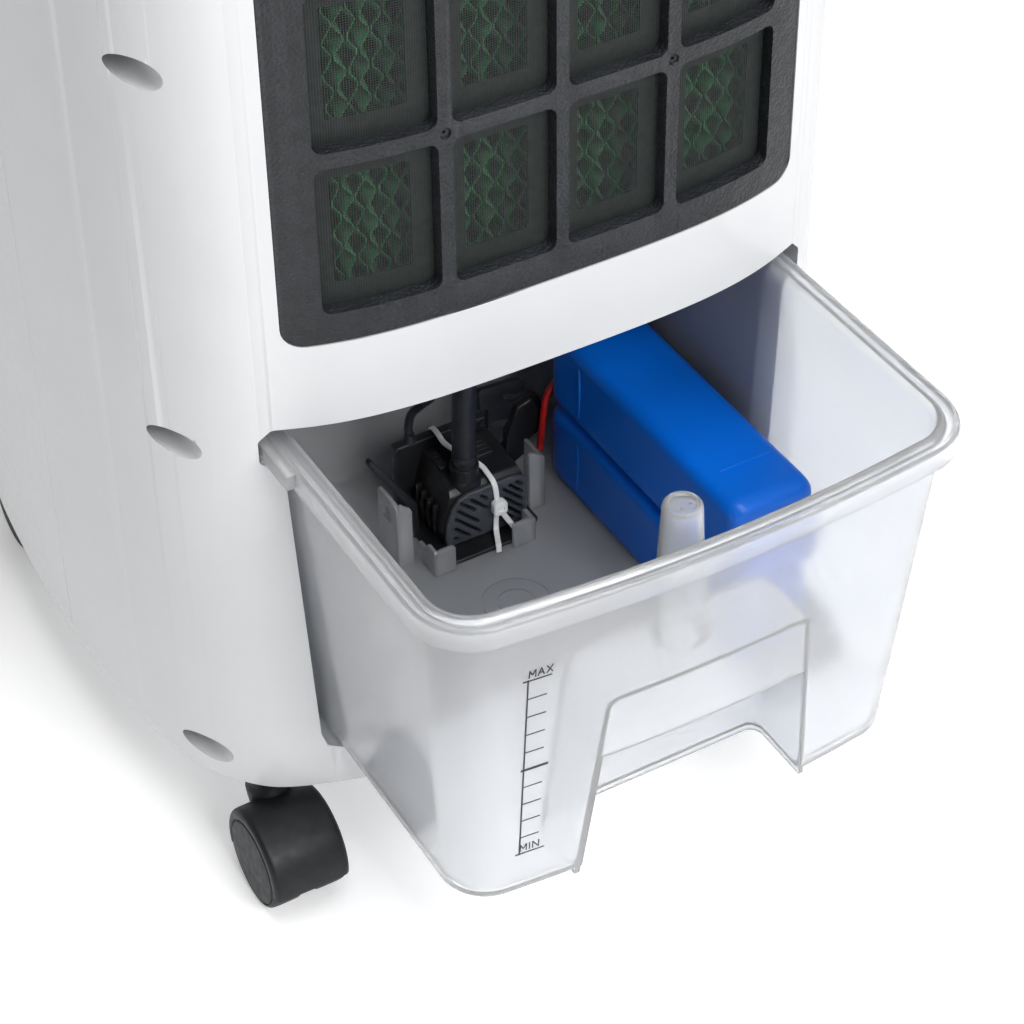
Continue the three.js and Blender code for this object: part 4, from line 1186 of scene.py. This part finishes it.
# upright ribs on the left side of the chamber and blank raised marking plates on its top
for k in range(4):
    y = -133.0 + k * 6.0
    pump = join(pump, rbox(6.2, 9.5, y, y + 1.8, PZ + 5, PZ + 25 - k * 0.5, 0.4, 2))
for (xa, xb, ya, yb) in ((-29.5, -18.8, -135.0, -119.0), (-4.2, 1.0, -135.0, -120.5)):
    pl = rprism(rounded([(xa, ya), (xb, ya), (xb, yb), (xa, yb)], 0.8, 3), "z", PZ + 38.0, PZ + 40.6, 0.2, 1)
    pump = join(pump, pl)
    for r in range(4):
        yy = ya + 2.2 + r * 3.2
        if yy + 1.0 < yb - 1:
            pump = cut(pump, rbox(xa + 1.0, xb - 1.0, yy, yy + 1.0, PZ + 40.3, PZ + 44, 0.1, 1))
for x, z in ((-33.4, PZ + 43.6), (14.0, PZ + 43.6), (14.0, PZ + 8.0)):
    pump = join(pump, cyl("y", (x, z), -139.2, -137.4, 1.9, 20))
tidy(pump, 0.001)
done(pump, "pump_body_moulded", "tank", M_BLACK, ["pump_body"], deg=38)

gr = rprism(GR, "y", -104.6, -101.9, 0.8, 3, 2.5)
SLOTS = [((-0.1, 119.2), (-9.3, 110.0)), ((1.8, 114.6), (-10.9, 101.9)), ((3.4, 109.9), (-12.0, 94.5)), ((3.6, 103.6), (-5.6, 94.4)), ((4.2, 97.8), (1.0, 94.6)), ((-5.9, 119.0), (-16.4, 108.5)), ((-11.9, 119.2), (-16.5, 114.6)),
         ((-24.9, 117.8), (-37.0, 105.7)), ((-28.5, 119.3), (-37.0, 110.8)), ((-32.6, 120.0), (-37.0, 115.6)), ((-24.9, 112.4), (-37.0, 100.3)), ((-24.9, 107.2), (-37.0, 95.1)), ((-24.9, 102.0), (-32.5, 94.4)), ((-24.9, 97.0), (-27.4, 94.5))]
for (xa, za), (xb, zb) in SLOTS:
    dx, dz = xb - xa, zb - za
    l = math.hypot(dx, dz)
    c = ((xa + xb) / 2, (za + zb) / 2)
    s = prism("slot", round_rect(-l / 2, l / 2, -1.1, 1.1, 1.05, 4), "y", -107, -99)
    rotate(s, "Y", -math.degrees(math.atan2(dz, dx)), (0, 0, 0))
    gr = cut(gr, move(s, c[0], 0, c[1]))
bevel_edges(gr, lambda e: e.calc_face_angle(0) > math.radians(60) and min(e.verts[0].co.y, e.verts[1].co.y) > -102.2, 0.25, 1)
tidy(gr, 0.0008)
done(gr, "pump_grille_slotted", "tank", M_GRILLE, ["pump_grille"], deg=38)

HOOK = [(-36.4, PZ + 47.6), (-35.0, PZ + 48.0), (-34.6, 149.0), (-36.2, 150.3), (-55.7, 149.0), (-59.3, 147.8), (-62.4, 144.6), (-62.9, 141.2), (-61.1, 139.4), (-57.4, 138.9), (-51.4, 141.6), (-49.0, 141.2), (-49.4, 138.6), (-52.3, 136.3), (-56.5, 134.6),
        (-61, 136.0), (-66.0, 136.4), (-70.0, 134.0), (-72.1, 129.2), (-72.1, 119.0), (-62.6, 109.8), (-59.9, 101.2), (-48.5, 95.3), (-44.0, 91.9), (-36.4, 91.9)]
hook = rprism(HOOK, "y", -146.0, -142.6, 0.55, 2, 1.4)
hook = cut(hook, prism("h", rounded([(-42.0, 127.0), (-56.0, 124.8), (-50.4, 116.5), (-50.3, 108.3), (-47.2, 106.2), (-42.0, 114.5)], 1.6, 3), "y", -150, -138))
hook = cut(hook, box(-40, -30, -147, -138.4, 80, PZ + 47.2))
hook = join(hook, rprism([(-48.3, 115.0), (-55.1, 133.6), (-63.7, 136.6), (-73.1, 119.0), (-69.6, 113.7), (-62.6, 109.8), (-59.9, 101.2), (-48.5, 95.3)], "y", -143.2, -138.4, 0.8, 3, 1.5))
tidy(hook, 0.001)
done(hook, "pump_bracket_hook", "tank", M_BLACK, ["pump_bracket"], deg=38)

HOSE = [(-8.3, -112, 133.2), (-8.5, -111.6, 165), (-8.8, -109.5, 190), (-8.4, -106, 230), (-7.4, -103, 270), (-7, -102, 310), (-7, -102, 480), (-7, -102, 690), (-7, -92, 709), (-7, -70, 717), (-7, -50, 712)]
hp = catmull(HOSE, 26)
hose = sweep("hose", hp, 6.15, 32)
z0 = 139.6
ringv = lathe("ring", [(0, z0 - 2.0), (6.35, z0 - 2.0), (6.6, z0 - 1.6), (6.6, z0 + 1.4), (6.35, z0 + 1.8), (0, z0 + 1.8)], 32, "z", (-8.33, -111.95, 0))
hose = join(hose, ringv)
done(hose, "pump_hose_smooth", None, M_HOSE, ["pump_hose"], deg=50)
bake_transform(hose)
CABLE = [(7.3, -141.7, 135.6), (6.9, -142.6, 145), (5.3, -142, 152), (1.5, -138.6, 158.5), (-2, -134, 165), (-4, -128, 175), (-4, -119, 198), (1, -111, 240), (8, -104, 290), (12, -100, 400), (14, -110, 520)]
lead = sweep("lead", catmull(CABLE, 26), 2.3, 20)
lead = join(lead, lathe("gl", [(0, 134.8), (3.6, 134.8), (3.6, 136.4), (2.9, 138.2), (2.6, 140.4), (0, 140.4)], 28, "z", (7.2, -141.75, 0)))
done(lead, "pump_cable_smooth", None, M_HOSE, ["pump_cable"], deg=50)
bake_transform(lead)

red = sweep("red", catmull([(-66.5, -134.9, 104), (-69, -134.9, 128), (-70.4, -134.9, 136.5), (-72.6, -134.9, 141.5), (-76.5, -134.9, 145), (-82, -134.9, 147)], 14), 1.85, 20)
done(red, "float_lead_smooth", "tank", M_RED, ["float_lead"], deg=45)


def ribbon(path, width, thick):
    """Flat strap: path points carry the strap's own side direction along +X."""
    v = []
    n = len(path)
    p = [np.array(q, float) for q in path]
    for i in range(n):
        t = p[min(i + 1, n - 1)] - p[max(i - 1, 0)]
        t /= np.linalg.norm(t)
        s = np.array([1.0, 0, 0]) - t * t[0]
        s /= np.linalg.norm(s)
        m = np.cross(s, t)
        e = 0.28
        for a, b in ((-width / 2 + e, -thick / 2), (width / 2 - e, -thick / 2), (width / 2, -thick / 2 + e), (width / 2, thick / 2 - e), (width / 2 - e, thick / 2), (-width / 2 + e, thick / 2), (-width / 2, thick / 2 - e), (-width / 2, -thick / 2 + e)):
            v.append(p[i] + s * a + m * b)
    f = grid_faces(n, 8) + [tuple(range(8))[::-1], tuple(range((n - 1) * 8, n * 8))]
    return fix_normals(mesh("ribbon", v, f))


strap = ribbon(catmull([(-14.9, -88.9, 89.4), (-15.3, -89.8, 92.4), (-17.0, -94.0, 93.4), (-19.4, -99.6, 95.6), (-20.4, -101.0, 101), (-21.0, -101.0, 109), (-20.8, -101.0, 116), (-20.2, -101.2, 121.6), (-20.0, -103.0, 124.6), (-19.6, -108, 126.6), (-19.2, -113.5, 127.6),
                    (-15.5, -120, 129.6), (-11.3, -128, 131.2), (-8.6, -134.5, 133.2), (-7.6, -138.0, 136.2), (-7.4, -141.5, 137.0), (-7.3, -144.6, 136.4), (-7.3, -145.6, 132.0), (-7.3, -145.8, 122.0)], 8), 2.9, 1.15)
head = rprism(round_rect(-25.2, -17.2, 105.4, 113.8, 2.2, 5), "y", -101.5, -96.6, 0.9, 3)
head = cut(head, rprism(round_rect(-23.2, -19.2, 108.2, 110.2, 0.4, 2), "y", -97.4, -95, 0.15, 1))
tail = ribbon([(-22.2, -98.0, 106.6), (-25.2, -97.4, 100.6), (-28.6, -97.2, 94.4), (-32.0, -97.2, 88.9)], 2.9, 1.15)
tie = join(head, strap)
tie = join(tie, tail)
tidy(tie, 0.001)
done(tie, "cable_tie_nylon", "tank", M_TIE, ["cable_tie"], deg=40)

# ------------------------------------------------------------------ casters
WHEEL_R, TRAIL, CASTER_X, CASTER_Y = 24.5, 22.0, 146.0, (-38.0, -346.0)
M_TYRE = plastic("caster_wheel", srgb(26, 29, 33), srgb(33, 36, 41), (0.46, 0.6), 120.0, [("noise", 2400.0, 0.18, 0.00012)], spec=0.28)


def hood_section(w):
    """Half section of the hood across the wheel (distance from the axis, x), as a closed loop: a shell with a rolled rim."""
    ro, ri = 27.6, 25.2
    out = []
    for i in range(9):
        a = math.radians(90 * i / 8)
        out.append((ro - 3.2 + 3.2 * math.sin(a), -w + 3.2 - 3.2 * math.cos(a)))
    out += [(ro + 0.25 * math.cos(math.pi * x / (2 * w)), x) for x in np.linspace(-w + 5.5, w - 5.5, 9)]
    for i in range(9):
        a = math.radians(90 * i / 8)
        out.append((ro - 3.2 + 3.2 * math.cos(a), w - 3.2 + 3.2 * math.sin(a)))
    out += [(23.2, w), (22.9, w - 0.6), (23.0, w - 1.4), (ri - 0.6, w - 1.6), (ri, w - 2.6)]
    out += [(ri, x) for x in np.linspace(w - 6, -w + 6, 5)]
    out += [(ri, -w + 2.6), (ri - 0.6, -w + 1.6), (23.0, -w + 1.4), (22.9, -w + 0.6), (23.2, -w)]
    return out


def arc_sweep(section, a0, a1, n, centre):
    v = []
    for i in range(n + 1):
        t = math.radians(a0 + (a1 - a0) * i / n)
        for r, x in section:
            v.append((centre[0] + x, centre[1] + r * math.cos(t), centre[2] + r * math.sin(t)))
    m = len(section)
    f = grid_faces(n + 1, m) + [tuple(range(m))[::-1], tuple(range(n * m, (n + 1) * m))]
    return fix_normals(mesh("arc", v, f))


k = 0
for s in (1, -1):
    for cy_ in CASTER_Y:
        k += 1
        cx_ = s * CASTER_X
        w, hx_ = 20.2, cx_ + s * 1.2
        hood = arc_sweep(hood_section(w), -8, 196, 64, (hx_, cy_ + TRAIL, WHEEL_R))
        web = rprism([(cy_ + TRAIL + 4, WHEEL_R - 6), (cy_ + TRAIL + 6, WHEEL_R + 4), (cy_ + TRAIL + 4, WHEEL_R + 26), (cy_ - 4, WHEEL_R + 22), (cy_ - 7, WHEEL_R + 10), (cy_ - 7, WHEEL_R - 2), (cy_ + TRAIL - 5, WHEEL_R - 6)], "x", cx_ - 3, cx_ + 3, 0.4, 1)
        hood = join(hood, web)
        # socket block that blends the hood into the stem
        neck = lathe("neck", [(0, 20), (8.9, 20), (9.4, 36), (10.6, 44), (11.2, 49.5), (10.9, 51.0), (9.6, 52.4), (9.0, 54.8), (8.6, 57.2), (6.2, 57.8), (0, 58.0)], 40, "z", (cx_, cy_, 0))
        neck = cut(neck, cyl("x", (cy_ + TRAIL, WHEEL_R), cx_ - 30, cx_ - 3, 25.25, 64), cyl("x", (cy_ + TRAIL, WHEEL_R), cx_ + 3, cx_ + 30, 25.25, 64))
        hood = join(hood, neck)
        hood = join(hood, lathe("stem", [(0, 50), (5.3, 50), (5.3, 80.2), (4.6, 81.0), (0, 81.0)], 28, "z", (cx_, cy_, 0)))
        hood = cut(hood, cyl("x", (cy_ + TRAIL, WHEEL_R), cx_ - 10, cx_ + 10, 3.5, 28))
        tidy(hood, 0.001)
        done(hood, f"caster_{k}_hood_moulded", f"caster_{k}", M_CASTER, [f"caster_{k}_hood"], deg=36)
        wheels = None
        for q in (1, -1):
            prof = [(0, 4.0), (20.0, 4.0), (23.3, 4.1), (24.1, 4.7), (24.45, 5.8), (24.5, 8), (24.5, 15.8), (24.35, 18.2), (24.0, 19.4), (23.4, 20.1), (22.8, 20.25), (22.35, 20.0), (22.15, 19.5), (21.95, 19.5), (21.75, 20.1), (21.4, 20.4),
                    (20.6, 20.55), (14, 20.7), (8.0, 20.8), (3.0, 20.85), (0, 20.85)]
            wh = lathe("wh", [(r, q * x) for r, x in prof], 72, "x", (hx_, cy_ + TRAIL, WHEEL_R))
            wheels = wh if wheels is None else join(wheels, wh)
        wheels = join(wheels, cyl("x", (cy_ + TRAIL, WHEEL_R), cx_ - 8, cx_ + 8, 3.1, 28))
        tidy(wheels, 0.001)
        done(wheels, f"caster_{k}_wheel_turned", f"caster_{k}_roll", M_TYRE, [f"caster_{k}_wheel"], deg=28)

# ------------------------------------------------------------------ air outlet: frame, louvres and vanes with smooth aerofoil sections
LOUVRE_Z, LOUVRE_PITCH, LOUVRE_Y, VANE_PITCH, VANE_Y = 577.0, 24.0, -358.0, 36.0, -330.0
xs = np.linspace(-140, 140, 81)
front_side = prism("fs", [(float(x), -DEPTH - sag(float(x))) for x in xs] + [(140, -200), (-140, -200)], "z", 500, 720)
fr = cut(prism("of", round_rect(-OUT_X, OUT_X, OUT_Z0, OUT_Z1, 8, 8), "y", -400, -312), prism("oi", round_rect(-OUT_X + 5, OUT_X - 5, OUT_Z0 + 5, OUT_Z1 - 5, 3, 6), "y", -410, -300))
fr = both(fr, front_side)
tidy(fr, 0.001)
bevel_edges(fr, lambda e: e.calc_face_angle(0) > math.radians(50) and (e.verts[0].co.y + e.verts[1].co.y) / 2 < -355, 0.9, 3)
for i in range(5):
    fr = cut(fr, cyl("x", (LOUVRE_Y, LOUVRE_Z + i * LOUVRE_PITCH), -130, 130, 2.4, 24))
for i in range(6):
    fr = cut(fr, cyl("z", ((i - 2.5) * VANE_PITCH, VANE_Y), 550, 700, 2.2, 24))
tidy(fr, 0.001)
done(fr, "outlet_frame_moulded", "housing", M_CHAR, ["outlet_frame"], deg=38)


def aerofoil(c, t, n=18):
    up = [(-c * math.cos(math.pi * i / n), t * math.sin(math.pi * i / n) ** 0.8) for i in range(n + 1)]
    dn = [(c * math.cos(math.pi * i / n), -t * math.sin(math.pi * i / n) ** 0.8) for i in range(1, n)]
    return up + dn


for i in range(5):
    z = LOUVRE_Z + i * LOUVRE_PITCH
    bl = prism("bl", [(LOUVRE_Y + a, z + b) for a, b in aerofoil(11, 1.5)], "x", -113.7, 113.7)
    bevel_edges(bl, lambda e: abs(e.verts[0].co.x - e.verts[1].co.x) < 1e-4 and e.calc_face_angle(0) > math.radians(60), 0.35, 2)
    bl = join(bl, cyl("x", (LOUVRE_Y, z), -117.9, 117.9, 1.9, 24))
    tidy(bl, 0.001)
    done(bl, f"louvre_{i + 1}_aerofoil", f"louvre_{i + 1}", M_WHITE, [f"louvre_{i + 1}"], deg=40)
for i in range(6):
    x = (i - 2.5) * VANE_PITCH
    bl = prism("vn", [(x - b, VANE_Y + a) for a, b in aerofoil(11.4, 1.2)], "z", 566.3, 683.7)
    bevel_edges(bl, lambda e: abs(e.verts[0].co.z - e.verts[1].co.z) < 1e-4 and e.calc_face_angle(0) > math.radians(60), 0.3, 2)
    bl = join(bl, cyl("z", (x, VANE_Y), 562, 688, 1.7, 24))
    tidy(bl, 0.001)
    done(bl, f"vane_{i + 1}_aerofoil", f"vane_{i + 1}", M_CHAR, [f"vane_{i + 1}"], deg=40)

# ------------------------------------------------------------------ control panel and its five push buttons
BUTTON_PITCH, BUTTON_Y, BUTTON_R = 36.0, -296.0, 8.0
pn = rprism(round_rect(-104.6, 104.6, -329.6, -262.4, 5.6, 8), "z", 763, Z_TOP + 0.2 - 1.8, 0.6, 3)
pn = join(pn, rprism(round_rect(-110, 110, -335, -257, 6, 6), "z", 758, 766.4, 0.3, 1))
for i in range(5):
    x = (i - 2) * BUTTON_PITCH
    ztop = Z_TOP - 1.6
    pn = cut(pn, lathe("dish", [(0, ztop - 1.0), (8.9, ztop - 1.0), (10.0, ztop - 0.5), (11.0, ztop + 0.1), (11.6, ztop + 1.2), (0, ztop + 1.2)], 48, "z", (x, BUTTON_Y, 0)))
    pn = cut(pn, cyl("z", (x, BUTTON_Y), 740, 790, BUTTON_R + 0.4, 48))
    pn = join(pn, lathe("led", [(0, ztop - 1.0), (1.5, ztop - 1.0), (1.5, ztop + 0.05), (1.1, ztop + 0.35), (0, ztop + 0.45)], 24, "z", (x, -277.5, 0)))
tidy(pn, 0.001)
done(pn, "control_panel_dished", "housing", M_PANEL, ["control_panel"], deg=36)
for i in range(5):
    x = (i - 2) * BUTTON_PITCH
    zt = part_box(f"button_{i + 1}")[1].z * 1000
    bt = lathe("bt", [(0, 754.7), (9.4, 754.7), (9.4, 757.4), (8.0, 757.6), (8.0, zt - 1.3), (7.6, zt - 0.5), (6.9, zt - 0.1), (6.2, zt - 0.02), (5.4, zt - 0.25), (3.5, zt - 0.6), (0, zt - 0.75)], 48, "z", (x, BUTTON_Y, 0))
    if i == 0:
        bt = cut(bt, cut(lathe("sy", [(0, zt - 1.2), (2.9, zt - 1.2), (2.9, zt + 1), (0, zt + 1)], 32, "z", (x, BUTTON_Y, 0)), cyl("z", (x, BUTTON_Y), zt - 3, zt + 3, 2.2, 32), box(x - 1, x + 1, BUTTON_Y + 0.5, BUTTON_Y + 5, zt - 3, zt + 3)))
        bt = cut(bt, box(x - 0.35, x + 0.35, BUTTON_Y + 0.8, BUTTON_Y + 3.2, zt - 1.2, zt + 1))
    else:
        for j in range(i):
            bt = cut(bt, rbox(x - 2.2, x + 2.2, BUTTON_Y - 2.4 + j * 1.7, BUTTON_Y - 1.7 + j * 1.7, zt - 1.2, zt + 1, 0.1, 1))
    done(bt, f"button_{i + 1}_dished", f"button_{i + 1}", M_BUTTON, [f"button_{i + 1}"], deg=36)

# ------------------------------------------------------------------ CAD nodes that keep their shape
M_METAL = plastic("motor_steel", srgb(150, 152, 156), srgb(166, 168, 172), (0.3, 0.42), 60.0, [("noise", 700.0, 0.1, 0.0002)])
M_METAL.node_tree.nodes["Principled BSDF"].inputs["Metallic"].default_value = 0.85
KEEP = {"base_pan": (M_WHITE, 0.5, "white_shell"), "pad_carrier": (M_WHITE, 0.5, "white_shell"), "bay_liner": (M_LINER, 0.4, "liner_grey"), "water_tray": (M_LINER, 0.5, "liner_grey"),
        "blower_housing": (M_LINER, 0.5, "liner_grey"), "blower_wheel": (M_BLACK, 0.3, "black_plastic"), "mains_gland": (M_BLACK, 0.4, "black_plastic"), "fan_motor": (M_METAL, 1.2, "motor_steel")}
for n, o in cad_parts.items():
    if n not in KEEP:
        continue
    mt, w, sl = KEEP[n]
    o.data.materials.clear()
    o.data.materials.append(mt)
    smooth(o, 32)
    add_bevel(o, w, 2, 40, harden=True)

# ------------------------------------------------------------------ floor
floor = mesh("floor", [(-6, -6, 0), (6, -6, 0), (6, 6, 0), (-6, 6, 0)], [(0, 1, 2, 3)])
m = bpy.data.materials.new("floor_white")
nt, bs = nodes_of(m)
tc = N(nt, "ShaderNodeTexCoord")
nz = N(nt, "ShaderNodeTexNoise")
nz.inputs["Scale"].default_value = 3.0
nt.links.new(tc.outputs["Object"], nz.inputs["Vector"])
rp = N(nt, "ShaderNodeValToRGB")
rp.color_ramp.elements[0].color = (0.93, 0.93, 0.93, 1)
rp.color_ramp.elements[1].color = (0.95, 0.95, 0.95, 1)
nt.links.new(nz.outputs["Fac"], rp.inputs["Fac"])
nt.links.new(rp.outputs["Color"], bs.inputs["Base Color"])
bs.inputs["Roughness"].default_value = 0.8
bs.inputs["Specular IOR Level"].default_value = 0.1
bs.inputs["Emission Color"].default_value = (1, 1, 1, 1)
bs.inputs["Emission Strength"].default_value = 0.26
floor.data.materials.append(m)
